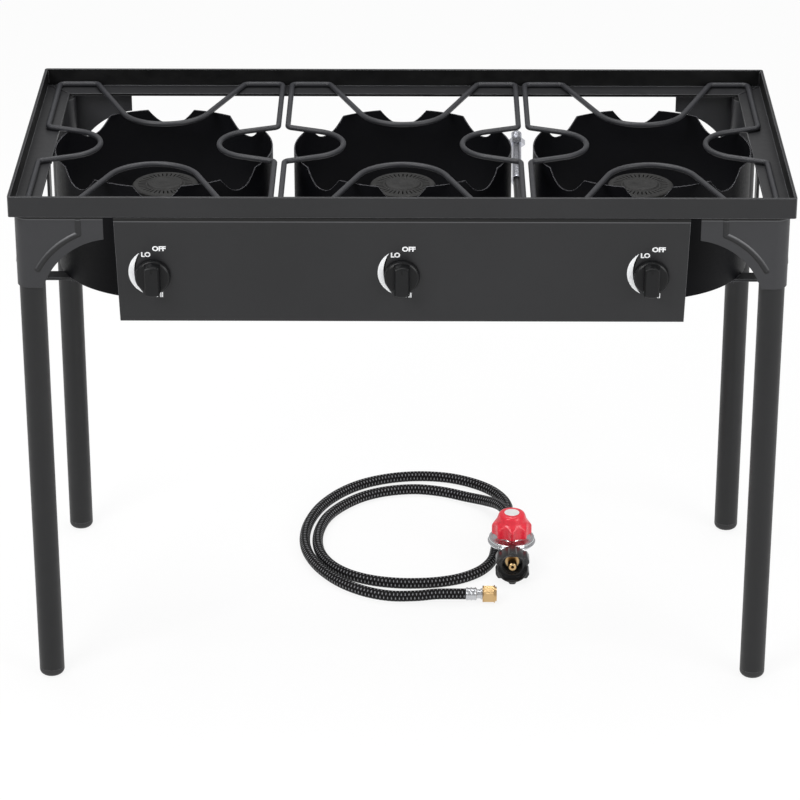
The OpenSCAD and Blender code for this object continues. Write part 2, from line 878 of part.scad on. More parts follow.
// Disc that turns on the inlet's hub to open and close the windows, with a tab to turn it by
module air_shutter(i) {
    disc_r = inlet_dia / 2 - 0.5;
    tab_w = 9;
    translate([i * burner_pitch, 0, 0]) facing_front(inlet_face_y - seat_gap) difference() {
        union() {
            cylinder(r = disc_r, h = shutter_t);
            translate([-tab_w / 2, disc_r - 2, 0]) cube([tab_w, 9, shutter_t]);
            translate([-tab_w / 2, disc_r + 7 - shutter_t, 0]) cube([tab_w, shutter_t, 7]);
        }
        translate([0, 0, -1]) cylinder(r = hub_r + run_gap, h = shutter_t + 2);
        translate([0, 0, -1]) air_windows(shutter_t + 2);
    }
}

module air_shutter_left() {
    color("#a5a7ab") air_shutter(LEFT);
}

module air_shutter_centre() {
    color("#a5a7ab") air_shutter(CENTRE);
}

module air_shutter_right() {
    color("#a5a7ab") air_shutter(RIGHT);
}

// Bolts under the burners, and those through the drums into the straps
module burner_bolts() {
    color("#8d8f93") for (i = [-1 : 1]) translate([i * burner_pitch, 0, 0]) {
        translate([0, 0, strap_z]) rotate([180, 0, 0]) hex(m6 * 1.65, m6 * 0.65);
        translate([0, 0, strap_z - eps]) cylinder(d = m6, h = strap_t + boss_h + 5);
        for (s = [0, 180])
            rotate([0, 0, s]) translate([drum_r, 0, strap_bolt_z]) rotate([0, 90, 0]) {
                cylinder(r = m6, h = 2.5);
                translate([0, 0, strap_end - strap_t - 8 - drum_r])
                    cylinder(d = m6, h = drum_r - strap_end + strap_t + 8 + eps);
                translate([0, 0, strap_end - strap_t - 5 - drum_r]) hex_nut(m6 * 1.65, 5, m6);
            }
    }
}

// ---------------------------------------------------------------- gas train

// Valve body behind the panel, with its inlet neck down to the manifold
module valve(i) {
    neck_r = 8;
    translate([i * burner_pitch, 0, 0]) difference() {
        union() {
            facing_front(valve_y) cylinder(r = 12, h = valve_body_len);
            facing_front(panel_back + 3) linear_extrude(3) round_rect(40, 26, 5);
            facing_front(jet_y) cylinder(r = 8, h = valve_nose_len + eps);
            facing_front(valve_y + 3) hex(20, 3 + eps);
            translate([0, manifold_y, manifold_z + manifold_dia / 2 + 5])
                cylinder(r = neck_r, h = manifold_drop - manifold_dia / 2 - 5);
            translate([0, manifold_y, manifold_z + manifold_dia / 2 + 5]) hex(20, 8);
        }
        facing_front(valve_y - 6) cylinder(d = stem_dia + 2 * run_gap, h = valve_body_len);
        translate([0, manifold_y, manifold_z]) cylinder(r = 3, h = manifold_drop - 14);
    }
}

module valve_left() {
    color("#b99a5a") valve(LEFT);
}

module valve_centre() {
    color("#b99a5a") valve(CENTRE);
}

module valve_right() {
    color("#b99a5a") valve(RIGHT);
}

// Brass jets between the valves and the burners' inlets
module gas_jets() {
    nose = inlet_face_y - jet_y - jet_hex_len;
    color("#c9a24e") for (i = [-1 : 1])
        translate([i * burner_pitch, 0, 0]) difference() {
            union() {
                facing_front(jet_y + jet_hex_len) hex(12, jet_hex_len);
                facing_front(inlet_face_y - eps) cylinder(r = 4, h = nose);
            }
            facing_front(inlet_face_y + 1) cylinder(r = 1.5, h = nose);
        }
}

// Manifold under the valves, with a boss for each valve and one for the feed pipe
module manifold_pipe() {
    r = manifold_dia / 2;
    boss_top = r + 5;
    color("#2f3033") translate([0, manifold_y, manifold_z]) difference() {
        union() {
            x_rod(r, -manifold_end, manifold_end);
            x_rod(r + 2.5, manifold_end - 12, manifold_end);
            x_rod(r + 2.5, -manifold_end, -manifold_end + 12);
            for (i = [-1 : 1]) translate([i * burner_pitch, 0, 0]) cylinder(r = 9, h = boss_top);
            translate([feed_x, 0, 0]) y_rod(10, 0, feed_y - manifold_y);
        }
        x_rod(r - manifold_wall, -manifold_end + 6, manifold_end - 6);
        for (i = [-1 : 1]) translate([i * burner_pitch, 0, 0]) cylinder(r = 3, h = boss_top + 1);
        translate([feed_x, 0, 0]) y_rod(feed_dia / 2 - 2, 0, feed_y - manifold_y + 1);
    }
}

module feed_pipe() {
    color("#2f3033") translate([feed_x, 0, manifold_z]) difference() {
        y_rod(feed_dia / 2, feed_y, feed_end);
        y_rod(feed_dia / 2 - 2, feed_y - 1, feed_end + 1);
    }
}

// Frame of the inlet: at its elbow, with its length along +Z
module at_inlet() {
    translate([feed_x, feed_end + inlet_tube_dia / 2, manifold_z])
        rotate([inlet_slope - 90, 0, 0]) children();
}

// Bright tube that slopes up behind the stand from an elbow on the feed pipe
module inlet_tube() {
    r = inlet_tube_dia / 2;
    color("#b4b6ba") difference() {
        union() {
            at_inlet() sphere(r = r + 1);
            translate([feed_x, 0, manifold_z]) y_rod(r + 1, feed_end, feed_end + r);
            at_inlet() cylinder(r = r, h = inlet_len);
        }
        at_inlet() cylinder(r = r - 2.5, h = inlet_len + 1);
        translate([feed_x, 0, manifold_z]) y_rod(feed_dia / 2 - 2, feed_end - 1, feed_end + r);
    }
}

// Hexagon and flared male end that the hose screws onto
module inlet_fitting() {
    r = inlet_tube_dia / 2;
    color("#c3c5c8") at_inlet() translate([0, 0, inlet_len]) difference() {
        union() {
            hex(23, 8);
            translate([0, 0, 8 - eps]) cylinder(d = thread_dia, h = 12 + eps);
            translate([0, 0, 20 - eps]) cylinder(r1 = r - 1, r2 = r - 4, h = 4);
        }
        translate([0, 0, -1]) cylinder(r = r - 4.5, h = 30);
    }
}

// ---------------------------------------------------------------- panel, stems and knobs

// Section of the panel, in Y and Z: a face bent back at its top and its foot
module panel_section() {
    b = panel_bend;
    module bend(up) {
        translate([b, up ? panel_h - b : b]) intersection() {
            difference() {
                circle(b);
                circle(b - panel_t);
            }
            translate([-b, up ? 0 : -b]) square(b);
        }
    }
    translate([0, b]) square([panel_t, panel_h - 2 * b]);
    translate([b, panel_h - panel_t]) square([panel_return - b, panel_t]);
    translate([b, 0]) square([panel_lip - b, panel_t]);
    bend(true);
    bend(false);
}

module control_panel() {
    color("#343538") difference() {
        intersection() {
            translate([-panel_w / 2, panel_y, panel_z]) rotate([90, 0, 90])
                linear_extrude(panel_w) panel_section();
            translate([0, panel_y + 2 * panel_return, panel_z - 1]) rotate([90, 0, 0])
                linear_extrude(3 * panel_return) polygon([
                    [-panel_foot_w / 2, 0], [panel_foot_w / 2, 0],
                    [panel_w / 2, panel_h + 2], [-panel_w / 2, panel_h + 2]
                ]);
        }
        for (i = [-1 : 1]) translate([i * burner_pitch, 0, valve_z])
            y_rod(stem_dia / 2 + 2, panel_y - 1, panel_y + panel_t + 1);
    }
}

// D-shaped section of a stem, or of the hole for it when grown by a gap
module stem_section(gap) {
    difference() {
        circle(stem_dia / 2 + gap);
        translate([stem_dia / 4 + gap, -stem_dia]) square([stem_dia, 2 * stem_dia]);
    }
}

stem_in_knob = 14;
stem_in_valve = 14;

module valve_stem(i) {
    round_len = stem_in_valve + panel_t;
    color("#c9b27a") translate([i * burner_pitch, 0, 0])
        facing_front(panel_back + stem_in_valve) {
            cylinder(d = stem_dia, h = round_len);
            translate([0, 0, round_len - eps]) linear_extrude(stem_in_knob + 1) stem_section(0);
        }
}

module valve_stem_left() {
    valve_stem(LEFT);
}

module valve_stem_centre() {
    valve_stem(CENTRE);
}

module valve_stem_right() {
    valve_stem(RIGHT);
}

// Knob: a round skirt with a grip bar across it
module knob(i) {
    r = knob_dia / 2;
    top_round = 4;
    grip_r = grip_len / 2;
    color("#303133") translate([i * burner_pitch, 0, 0]) facing_front(knob_y) difference() {
        union() {
            rotate_extrude() polygon([
                [0, 0], [r, 0], [r, skirt_h - 4], [r - 1, skirt_h - 1.5], [r - 3, skirt_h],
                [0, skirt_h]
            ]);
            intersection() {
                rotate_extrude() {
                    square([grip_r, knob_h - top_round]);
                    square([grip_r - top_round, knob_h]);
                    translate([grip_r - top_round, knob_h - top_round]) circle(top_round);
                }
                rotate([90, 0, 0]) linear_extrude(knob_dia, center = true) polygon([
                    [-grip_w / 2 - 1.5, 0], [grip_w / 2 + 1.5, 0], [grip_w / 2, knob_h - 3],
                    [grip_w / 2 - 2, knob_h], [-grip_w / 2 + 2, knob_h], [-grip_w / 2, knob_h - 3]
                ]);
            }
        }
        translate([0, 0, -1]) linear_extrude(stem_in_knob + 2) stem_section(run_gap);
        translate([-0.8, grip_r - 9, knob_h - 0.8]) cube([1.6, 10, 2]);
    }
}

module knob_left() {
    knob(LEFT);
}

module knob_centre() {
    knob(CENTRE);
}

module knob_right() {
    knob(RIGHT);
}

// ---------------------------------------------------------------- regulator and hose

// Regulator: inlet neck, outlet boss and a round two-part housing with a domed bonnet
module regulator_body() {
    r = reg_dia / 2;
    color("#a9abae") translate([reg_x, reg_y, 0]) {
        translate([0, 0, reg_axis_z]) {
            y_rod(11, nut_back_y + 0.5 - reg_y, 0);
            y_rod(10, 0, outlet_y - reg_y);
        }
        translate([0, 0, reg_axis_z - 14]) cylinder(r = 17, h = 14 + 6);
        translate([0, 0, housing_z]) rotate_extrude() polygon([
            [0, -6], [17, -6], [r - 8, 0], [r - 1, 2], [r, 3], [r, 6], [r - 1.5, 7],
            [r - 5, 7], [r - 9, 9], [21, 14], [0, 14]
        ]);
    }
}

// Adjusting knob: a domed crown over eight spreading lobes
module regulator_knob() {
    lobes = 8;
    r = reg_knob_dia / 2;
    lobe_r = 8;
    color("#d7263a") translate([reg_x, reg_y, knob_base_z + seat_gap]) {
        rotate_extrude() polygon([
            [0, 0], [r - 8, 0], [r - 7, 12], [r - 10, 26], [r - 12, 34], [r - 15, 38],
            [r - 19, 39.5], [0, 39.5]
        ]);
        for (k = [0 : lobes - 1])
            rotate([0, 0, k * 360 / lobes]) translate([r - lobe_r, 0, 2]) {
                cylinder(r = lobe_r, h = 14);
                translate([0, 0, 14 - eps]) cylinder(r1 = lobe_r, r2 = lobe_r - 5, h = 12);
            }
    }
}

// Ribbed hand nut that screws onto the tank's valve, open towards the front
module tank_nut() {
    r = tank_nut_dia / 2;
    ribs = 10;
    color("#1c1c1e") translate([reg_x, 0, reg_axis_z]) difference() {
        union() {
            y_rod(r - 2, nut_front_y, nut_back_y - 6);
            translate([0, nut_back_y - 6 - eps, 0]) rotate([-90, 0, 0])
                cylinder(r1 = r - 2, r2 = r - 9, h = 6);
            for (k = [0 : ribs - 1]) rotate([0, k * 360 / ribs, 0])
                translate([r - 5, 0, 0]) y_rod(5, nut_front_y + 3, nut_back_y - 10);
        }
        y_rod(r - 6, nut_front_y - 1, nut_front_y + 5);
        y_rod(tank_thread_dia / 2, nut_front_y, nut_back_y - 8);
        y_rod(9 + run_gap, nut_front_y, nut_back_y + 1);
    }
}

// Brass nipple that seals in the tank's valve
module tank_nipple() {
    color("#c9a24e") translate([reg_x, 0, reg_axis_z]) difference() {
        union() {
            y_rod(9, nut_back_y - 10, nut_back_y + 0.5);
            y_rod(12, nut_back_y - 12, nut_back_y - 8 - seat_gap);
            y_rod(6.5, nut_front_y + 10, nut_back_y - 12 + eps);
            translate([0, nut_front_y + 10, 0]) rotate([90, 0, 0])
                cylinder(r1 = 6.5, r2 = 4, h = 4);
        }
        y_rod(2, nut_front_y, nut_front_y + 18);
    }
}

// Crimped sleeves on the two ends of the hose; the far one carries the stem for the flare nut
module hose_ferrules() {
    r = hose_dia / 2 + 1;
    color("#b9bbbe") {
        translate([reg_x, 0, reg_axis_z]) y_rod(r, outlet_y, hose_path[0][1]);
        translate([0, flare_y, flare_z]) {
            x_rod(r, hose_path[len(hose_path) - 1][0], flare_x - 9);
            x_rod(r - 2.5, flare_x - 9 - eps, flare_x - 3);
            x_rod(r - 1, flare_x - 3 - eps, flare_x - seat_gap);
            x_rod(flare_stem_r, flare_x - seat_gap - eps, flare_x + flare_floor);
        }
    }
}

// Hexagonal swivel nut on the end of the hose
module flare_nut() {
    color("#cfa65a") translate([flare_x, flare_y, flare_z]) rotate([0, 90, 0]) difference() {
        union() {
            hex(flare_af, flare_len - 3);
            cylinder(d = flare_af, h = flare_len);
        }
        translate([0, 0, -1]) cylinder(r = flare_stem_r + run_gap, h = flare_len + 2);
        translate([0, 0, flare_floor]) cylinder(r = thread_dia / 2 + run_gap, h = flare_len);
    }
}

// Hose: a tube swept along its points, its rings level across the path
module hose() {
    n = len(hose_path);
    function along(k) = unit(hose_path[min(k + 1, n - 1)] - hose_path[max(k - 1, 0)]);
    function across(t) = unit(cross([0, 0, 1], t));
    function ring(k) = let (t = along(k), u = across(t), v = cross(t, u))
        [for (s = [0 : hose_sides - 1]) let (a = 360 * (s + 0.5) / hose_sides)
            hose_path[k] + hose_dia / 2 * (cos(a) * u + sin(a) * v)];
    points = [for (k = [0 : n - 1]) each ring(k)];
    walls = [for (k = [0 : n - 2], s = [0 : hose_sides - 1])
        let (a = k * hose_sides + s, b = k * hose_sides + (s + 1) % hose_sides)
        each [[a, a + hose_sides, b], [b, a + hose_sides, b + hose_sides]]];
    ends = [
        [for (s = [0 : hose_sides - 1]) s],
        [for (s = [hose_sides - 1 : -1 : 0]) (n - 1) * hose_sides + s]
    ];
    color("#1d1d1f") polyhedron(points, concat(walls, ends), convexity = 8);
}

// ---------------------------------------------------------------- the model

rail_front();
rail_rear();
rail_left();
rail_right();
bracket_front_left();
bracket_front_right();
bracket_rear_left();
bracket_rear_right();
control_panel();
support_bars();
wind_guard_left();
wind_guard_centre();
wind_guard_right();
burner_left();
burner_centre();
burner_right();
burner_cap_left();
burner_cap_centre();
burner_cap_right();
air_shutter_left();
air_shutter_centre();
air_shutter_right();
valve_left();
valve_centre();
valve_right();
gas_jets();
manifold_pipe();
feed_pipe();
inlet_tube();
inlet_fitting();
burner_bolts();
guard_bolts();
valve_stem_left();
valve_stem_centre();
valve_stem_right();
knob_left();
knob_centre();
knob_right();
grate_left();
grate_centre();
grate_right();
leg_front_left();
leg_front_right();
leg_rear_left();
leg_rear_right();
glide_front_left();
glide_front_right();
glide_rear_left();
glide_rear_right();
leg_screw_front_left();
leg_screw_front_right();
leg_screw_rear_left();
leg_screw_rear_right();
regulator_body();
regulator_knob();
tank_nut();
tank_nipple();
hose_ferrules();
flare_nut();
hose();
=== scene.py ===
import bpy
import bmesh
import json
import math
import numpy as np
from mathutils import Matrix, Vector


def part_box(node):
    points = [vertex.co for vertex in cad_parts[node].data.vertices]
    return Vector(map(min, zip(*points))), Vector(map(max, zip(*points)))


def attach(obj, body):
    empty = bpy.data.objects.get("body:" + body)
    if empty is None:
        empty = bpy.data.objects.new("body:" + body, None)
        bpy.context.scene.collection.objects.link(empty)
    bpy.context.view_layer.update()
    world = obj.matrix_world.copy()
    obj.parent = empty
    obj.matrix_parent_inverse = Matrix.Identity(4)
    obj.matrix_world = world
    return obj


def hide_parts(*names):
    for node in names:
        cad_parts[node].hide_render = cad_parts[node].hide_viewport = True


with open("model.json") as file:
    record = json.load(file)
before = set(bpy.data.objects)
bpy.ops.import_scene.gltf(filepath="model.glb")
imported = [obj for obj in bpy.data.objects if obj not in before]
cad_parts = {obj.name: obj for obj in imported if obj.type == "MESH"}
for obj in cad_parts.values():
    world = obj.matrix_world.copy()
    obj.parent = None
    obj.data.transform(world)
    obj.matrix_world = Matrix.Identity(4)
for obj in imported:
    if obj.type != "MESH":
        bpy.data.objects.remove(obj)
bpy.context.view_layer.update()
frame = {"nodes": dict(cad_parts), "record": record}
NODES = frame["nodes"]

ROWS = {"left": -1, "centre": 0, "right": 1}
CORNERS = {
    "front_left": (-1, -1), "front_right": (1, -1), "rear_left": (-1, 1), "rear_right": (1, 1)
}
PITCH = 0.350        # between burners, and between knobs
KNOB_Z = 0.6575      # height of the knobs' axes
PANEL_Y = -0.266     # front face of the panel
WING_FACE = {"X": 0.5440, "Y": 0.2590}    # outer faces of the brackets' wings, off the middle
SEAM_HIGHLIGHT = (0.7378, 0.7394)    # heights of the painted highlight just below the rim
SEAM_SHADOW = (0.7394, 0.7400)     # and of the painted shadow line above it, under the rim
LEG_AXIS = (0.5231, 0.2381)      # legs' axes, off the middle
LEG_SCREW_Z = 0.673
INLET_BEND = (0.175, 0.2345, 0.606)       # where the gas inlet's slope starts
REG_X, REG_Y, REG_Z = 0.172, 0.115, 0.029    # where the regulator's necks meet its axis
NUT_FRONT = 0.036    # Y of the tank nut's mouth
KNOB_HEIGHT = 0.036  # of the regulator's knob
FLARE_AT = (-0.020, 0.0155)      # Y and Z of the hose's far fitting
FLANGE_TOP, FLANGE_UNDER = 0.749, 0.745
FLOOR_HALF = 12.0

CAMERA_AT = (0.0222, -4.5873, 2.5113)
CAMERA_DOWN, CAMERA_TURN = 25.34, 0.33    # degrees
FOCAL_PX, PHOTO_PX, SENSOR_MM = 3345.0, 800.0, 36.0


# ------------------------------------------------------------------ camera
def make_camera():
    data = bpy.data.cameras.new("camera")
    data.lens = SENSOR_MM * FOCAL_PX / PHOTO_PX
    data.sensor_width = SENSOR_MM
    data.clip_start = 0.1
    data.clip_end = 60.0
    cam = bpy.data.objects.new("camera", data)
    cam.location = CAMERA_AT
    cam.rotation_euler = (math.radians(90.0 - CAMERA_DOWN), 0.0, math.radians(CAMERA_TURN))
    bpy.context.scene.collection.objects.link(cam)
    bpy.context.scene.camera = cam


make_camera()


# ------------------------------------------------------------------ small helpers
def link(obj):
    bpy.context.scene.collection.objects.link(obj)
    return obj


def mesh_piece(name, bm, material, body, smooth=True):
    data = bpy.data.meshes.new(name)
    bm.normal_update()
    bm.to_mesh(data)
    bm.free()
    if smooth:
        data.shade_smooth()
    obj = link(bpy.data.objects.new(name, data))
    data.materials.append(material)
    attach(obj, body)
    return obj


def frame_of(direction):
    """Two unit vectors square to a direction."""
    t = Vector(direction).normalized()
    ref = Vector((0, 0, 1)) if abs(t.z) < 0.9 else Vector((1, 0, 0))
    u = ref.cross(t).normalized()
    return u, t.cross(u)


def sweep(bm, points, radius, sides=12, closed=False):
    """Round tube through the points."""
    pts = [Vector(p) for p in points]
    n = len(pts)
    rings = []
    for k, p in enumerate(pts):
        a = pts[(k - 1) % n] if closed or k else pts[k]
        b = pts[(k + 1) % n] if closed or k < n - 1 else pts[k]
        u, v = frame_of(b - a)
        rings.append([
            bm.verts.new(p + radius * (math.cos(2 * math.pi * s / sides) * u
                                       + math.sin(2 * math.pi * s / sides) * v))
            for s in range(sides)
        ])
    last = n if closed else n - 1
    for k in range(last):
        a, b = rings[k], rings[(k + 1) % n]
        for s in range(sides):
            bm.faces.new((a[s], a[(s + 1) % sides], b[(s + 1) % sides], b[s]))
    if not closed:
        bm.faces.new(list(reversed(rings[0])))
        bm.faces.new(rings[-1])


def lathe(bm, profile, origin, axis, steps=48):
    """Surface of revolution: profile is (distance along the axis, radius)."""
    u, v = frame_of(axis)
    t = Vector(axis).normalized()
    rings = []
    for along, r in profile:
        rings.append([
            bm.verts.new(Vector(origin) + t * along
                         + r * (math.cos(2 * math.pi * s / steps) * u
                                + math.sin(2 * math.pi * s / steps) * v))
            for s in range(steps)
        ])
    for a, b in zip(rings, rings[1:]):
        for s in range(steps):
            bm.faces.new((a[s], a[(s + 1) % steps], b[(s + 1) % steps], b[s]))
    bm.faces.new(list(reversed(rings[0])))
    bm.faces.new(rings[-1])
    bmesh.ops.recalc_face_normals(bm, faces=bm.faces)


def turn(bm, loop, origin, axis, steps=96):
    """Closed outline turned round an axis: (distance along the axis, radius), or with a third
    number, half the width across the flats of a hexagon that the radius clips."""
    u, v = frame_of(axis)
    t = Vector(axis).normalized()
    rings = []
    for along, r, *flat in loop:
        ring = []
        for s in range(steps):
            a = 2 * math.pi * s / steps
            reach = r
            if flat:
                reach = min(r, flat[0] / math.cos((a + math.pi / 6) % (math.pi / 3) - math.pi / 6))
            ring.append(bm.verts.new(Vector(origin) + t * along
                                     + reach * (math.cos(a) * u + math.sin(a) * v)))
        rings.append(ring)
    for a, b in zip(rings, rings[1:] + rings[:1]):
        for s in range(steps):
            bm.faces.new((a[s], a[(s + 1) % steps], b[(s + 1) % steps], b[s]))
    bmesh.ops.recalc_face_normals(bm, faces=bm.faces)


def keep_sharp(bm, degrees=35.0):
    """Keeps edges between steep faces crisp on a smooth-shaded piece."""
    for e in bm.edges:
        e.smooth = len(e.link_faces) == 2 and e.calc_face_angle() < math.radians(degrees)


def helix(bm, origin, axis, radius, pitch, turns, wire, sides=6, per_turn=20):
    """Ridge of a screw thread round an axis."""
    u, v = frame_of(axis)
    t = Vector(axis).normalized()
    pts = []
    for k in range(int(turns * per_turn) + 1):
        a = 2 * math.pi * k / per_turn
        pts.append(Vector(origin) + t * (pitch * k / per_turn)
                   + radius * (math.cos(a) * u + math.sin(a) * v))
    sweep(bm, pts, wire, sides)


# ------------------------------------------------------------------ materials
class Nodes:
    """Builds one node material from small named steps."""

    def __init__(self, name):
        self.mat = bpy.data.materials.new(name)
        self.mat.use_nodes = True
        self.tree = self.mat.node_tree
        self.shader = self.tree.nodes["Principled BSDF"]
        self.out = self.tree.nodes["Material Output"]
        self.coords = self.tree.nodes.new("ShaderNodeTexCoord").outputs["Object"]

    def link(self, a, b):
        self.tree.links.new(a, b)

    def node(self, kind, **values):
        n = self.tree.nodes.new(kind)
        for k, v in values.items():
            setattr(n, k, v)
        return n

    def noise(self, scale, detail=4.0, rough=0.55):
        n = self.node("ShaderNodeTexNoise")
        n.inputs["Scale"].default_value = scale
        n.inputs["Detail"].default_value = detail
        n.inputs["Roughness"].default_value = rough
        self.link(self.coords, n.inputs["Vector"])
        return n.outputs["Fac"]

    def ramp(self, value, low, high, a, b):
        """Maps value from low..high to a..b."""
        n = self.node("ShaderNodeMapRange")
        n.inputs["From Min"].default_value = low
        n.inputs["From Max"].default_value = high
        n.inputs["To Min"].default_value = a
        n.inputs["To Max"].default_value = b
        self.link(value, n.inputs["Value"])
        return n.outputs["Result"]

    def mix(self, factor, a, b):
        n = self.node("ShaderNodeMix", data_type="RGBA")
        self.link(factor, n.inputs["Factor"])
        for socket, colour in (("A", a), ("B", b)):
            target = [s for s in n.inputs if s.name == socket and s.type == "RGBA"][0]
            if hasattr(colour, "links"):
                self.link(colour, target)
            else:
                target.default_value = (*colour, 1.0)
        return [s for s in n.outputs if s.type == "RGBA"][0]

    def highlight_edges(self, radius):
        """1 on sharp edges, where the painted highlight goes, 0 on the faces between them."""
        soft = self.node("ShaderNodeBevel", samples=4)
        soft.inputs["Radius"].default_value = radius
        true = self.node("ShaderNodeNewGeometry")
        dot = self.node("ShaderNodeVectorMath", operation="DOT_PRODUCT")
        self.link(soft.outputs["Normal"], dot.inputs[0])
        self.link(true.outputs["Normal"], dot.inputs[1])
        return self.ramp(dot.outputs["Value"], 0.995, 0.85, 0.0, 1.0)

    def raised_bead(self):
        """1 on what stands proud of the outer faces of the brackets' wings."""
        split = self.node("ShaderNodeSeparateXYZ")
        self.link(self.coords, split.inputs["Vector"])
        found = []
        for axis, face in WING_FACE.items():
            size = self.node("ShaderNodeMath", operation="ABSOLUTE")
            self.link(split.outputs[axis], size.inputs[0])
            found.append(self.ramp(size.outputs[0], face + 0.0001, face + 0.0004, 0.0, 1.0))
        both = self.node("ShaderNodeMath", operation="MAXIMUM")
        self.link(found[0], both.inputs[0])
        self.link(found[1], both.inputs[1])
        return both.outputs[0]

    def facing_burners(self):
        """1 on faces that look towards the middle of the stand, 0 on the outer ones."""
        place = self.node("ShaderNodeNewGeometry")
        flat = self.node("ShaderNodeVectorMath", operation="MULTIPLY")
        self.link(place.outputs["Position"], flat.inputs[0])
        flat.inputs[1].default_value = (1.0, 1.0, 0.0)
        dot = self.node("ShaderNodeVectorMath", operation="DOT_PRODUCT")
        self.link(flat.outputs["Vector"], dot.inputs[0])
        self.link(place.outputs["Normal"], dot.inputs[1])
        return self.ramp(dot.outputs["Value"], -0.02, -0.10, 0.0, 1.0)

    def bump(self, *layers, edge=0.0):
        """Stacks (height, strength, distance) layers of bump over edges rounded by edge metres."""
        normal = None
        if edge:
            soft = self.node("ShaderNodeBevel", samples=4)
            soft.inputs["Radius"].default_value = edge
            normal = soft.outputs["Normal"]
        for height, strength, distance in layers:
            n = self.node("ShaderNodeBump")
            n.inputs["Strength"].default_value = strength
            n.inputs["Distance"].default_value = distance
            self.link(height, n.inputs["Height"])
            if normal:
                self.link(normal, n.inputs["Normal"])
            normal = n.outputs["Normal"]
        self.link(normal, self.shader.inputs["Normal"])

    def set(self, **values):
        for k, v in values.items():
            socket = self.shader.inputs[k.replace("_", " ")]
            if hasattr(v, "links"):
                self.link(v, socket)
            else:
                socket.default_value = (*v, 1.0) if isinstance(v, tuple) else v


def shade(colour, k):
    return tuple(c * k for c in colour)


def powder_coat(name, colour, rough=0.42, grain=900.0, depth=0.00005, edge=0.0012, seam=False,
                shaded_inward=False, bead=False):
    """Satin powder coat: fine orange peel, faint dust, slow changes of tone and a painted highlight
    along the edges. A piece with a seam has a painted shadow line where it meets the underside of
    the rim, with a painted highlight just below it, and one shaded inward is painted blacker, as
    painted shade, on the faces that look at the burners. The raised bead of a bracket is painted
    darker than its sheet as painted shade, with a painted highlight on its upward faces and painted
    shade on its downward faces."""
    m = Nodes(name)
    slow = m.noise(5.0, 3.0)
    dust = m.noise(60.0, 5.0, 0.7)
    tone = m.mix(m.ramp(slow, 0.3, 0.7, 0.0, 1.0), shade(colour, 0.90), shade(colour, 1.12))
    tone = m.mix(m.ramp(dust, 0.55, 0.80, 0.0, 0.16), tone, shade(colour, 1.7))
    if shaded_inward:
        # painted shade: the faces that look towards the burners are painted blacker
        tone = m.mix(m.facing_burners(), tone, shade(colour, 0.12))
    if bead:
        # painted light on the bead: it is painted darker than its sheet as painted shade, its
        # upward faces get a painted highlight and its downward faces painted shade
        raised = m.raised_bead()
        up = m.node("ShaderNodeSeparateXYZ")
        m.link(m.node("ShaderNodeNewGeometry").outputs["Normal"], up.inputs["Vector"])
        under = m.ramp(up.outputs["Z"], -0.05, -0.35, 0.0, 1.0)
        body = m.mix(m.ramp(up.outputs["Z"], 0.15, 0.55, 0.0, 0.8), shade(colour, 0.45), PAINTED_HIGHLIGHT)
        tone = m.mix(raised, tone, m.mix(under, body, PAINTED_SHADE))
    elif edge:
        # painted highlight along the sharp edges
        tone = m.mix(m.highlight_edges(edge), tone, PAINTED_HIGHLIGHT)
    if seam:
        # painted highlight on a pale band just below the rim, then a painted shadow line where the
        # rim overhangs
        split = m.node("ShaderNodeSeparateXYZ")
        m.link(m.coords, split.inputs["Vector"])
        tone = m.mix(m.ramp(split.outputs["Z"], *SEAM_HIGHLIGHT, 0.0, 0.6), tone, PAINTED_HIGHLIGHT)
        tone = m.mix(m.ramp(split.outputs["Z"], *SEAM_SHADOW, 0.0, 1.0), tone, PAINTED_SHADE)
    peel = m.noise(grain, 2.0, 0.5)
    m.set(Base_Color=tone, Metallic=0.0, Specular_IOR_Level=0.4,
          Roughness=m.ramp(dust, 0.3, 0.7, rough - 0.05, rough + 0.08))
    m.bump((peel, 0.35, depth), (slow, 0.05, 0.0006), edge=edge)
    return m.mat


def heat_enamel(name, colour, rough=0.36):
    """Semi-gloss enamel with the faint waviness of thin rolled sheet."""
    m = Nodes(name)
    slow = m.noise(9.0, 2.0)
    speck = m.noise(300.0, 4.0, 0.6)
    tone = m.mix(m.ramp(slow, 0.3, 0.7, 0.0, 1.0), shade(colour, 0.85), shade(colour, 1.15))
    # painted highlight along the sharp edges of the sheet
    tone = m.mix(m.highlight_edges(0.0008), tone, ENAMEL_HIGHLIGHT)
    m.set(Base_Color=tone, Metallic=0.0, Specular_IOR_Level=0.10,
          Roughness=m.ramp(speck, 0.3, 0.7, rough - 0.05, rough + 0.07))
    m.bump((speck, 0.15, 0.00004), (slow, 0.25, 0.0012), edge=0.0006)
    return m.mat


def cast_iron(name, colour):
    m = Nodes(name)
    sand = m.noise(650.0, 5.0, 0.65)
    lumps = m.noise(90.0, 3.0)
    tone = m.mix(m.ramp(lumps, 0.35, 0.65, 0.0, 1.0), shade(colour, 0.8), shade(colour, 1.3))
    m.set(Base_Color=tone, Metallic=0.35, Roughness=m.ramp(sand, 0.3, 0.7, 0.55, 0.8))
    m.bump((sand, 0.6, 0.00018), (lumps, 0.3, 0.0004))
    return m.mat


def metal(name, colour, rough=0.28, tarnish=0.12, grain=500.0, edge=0.0004, relief=0.12):
    m = Nodes(name)
    cloud = m.noise(40.0, 4.0)
    fine = m.noise(grain, 3.0, 0.6)
    tone = m.mix(m.ramp(cloud, 0.35, 0.7, 0.0, 1.0), colour, shade(colour, 1.0 - tarnish))
    m.set(Base_Color=tone, Metallic=1.0,
          Roughness=m.ramp(fine, 0.3, 0.7, rough - 0.02, rough + 0.03))
    if relief:
        m.bump((fine, relief, 0.00003), edge=edge)
    return m.mat


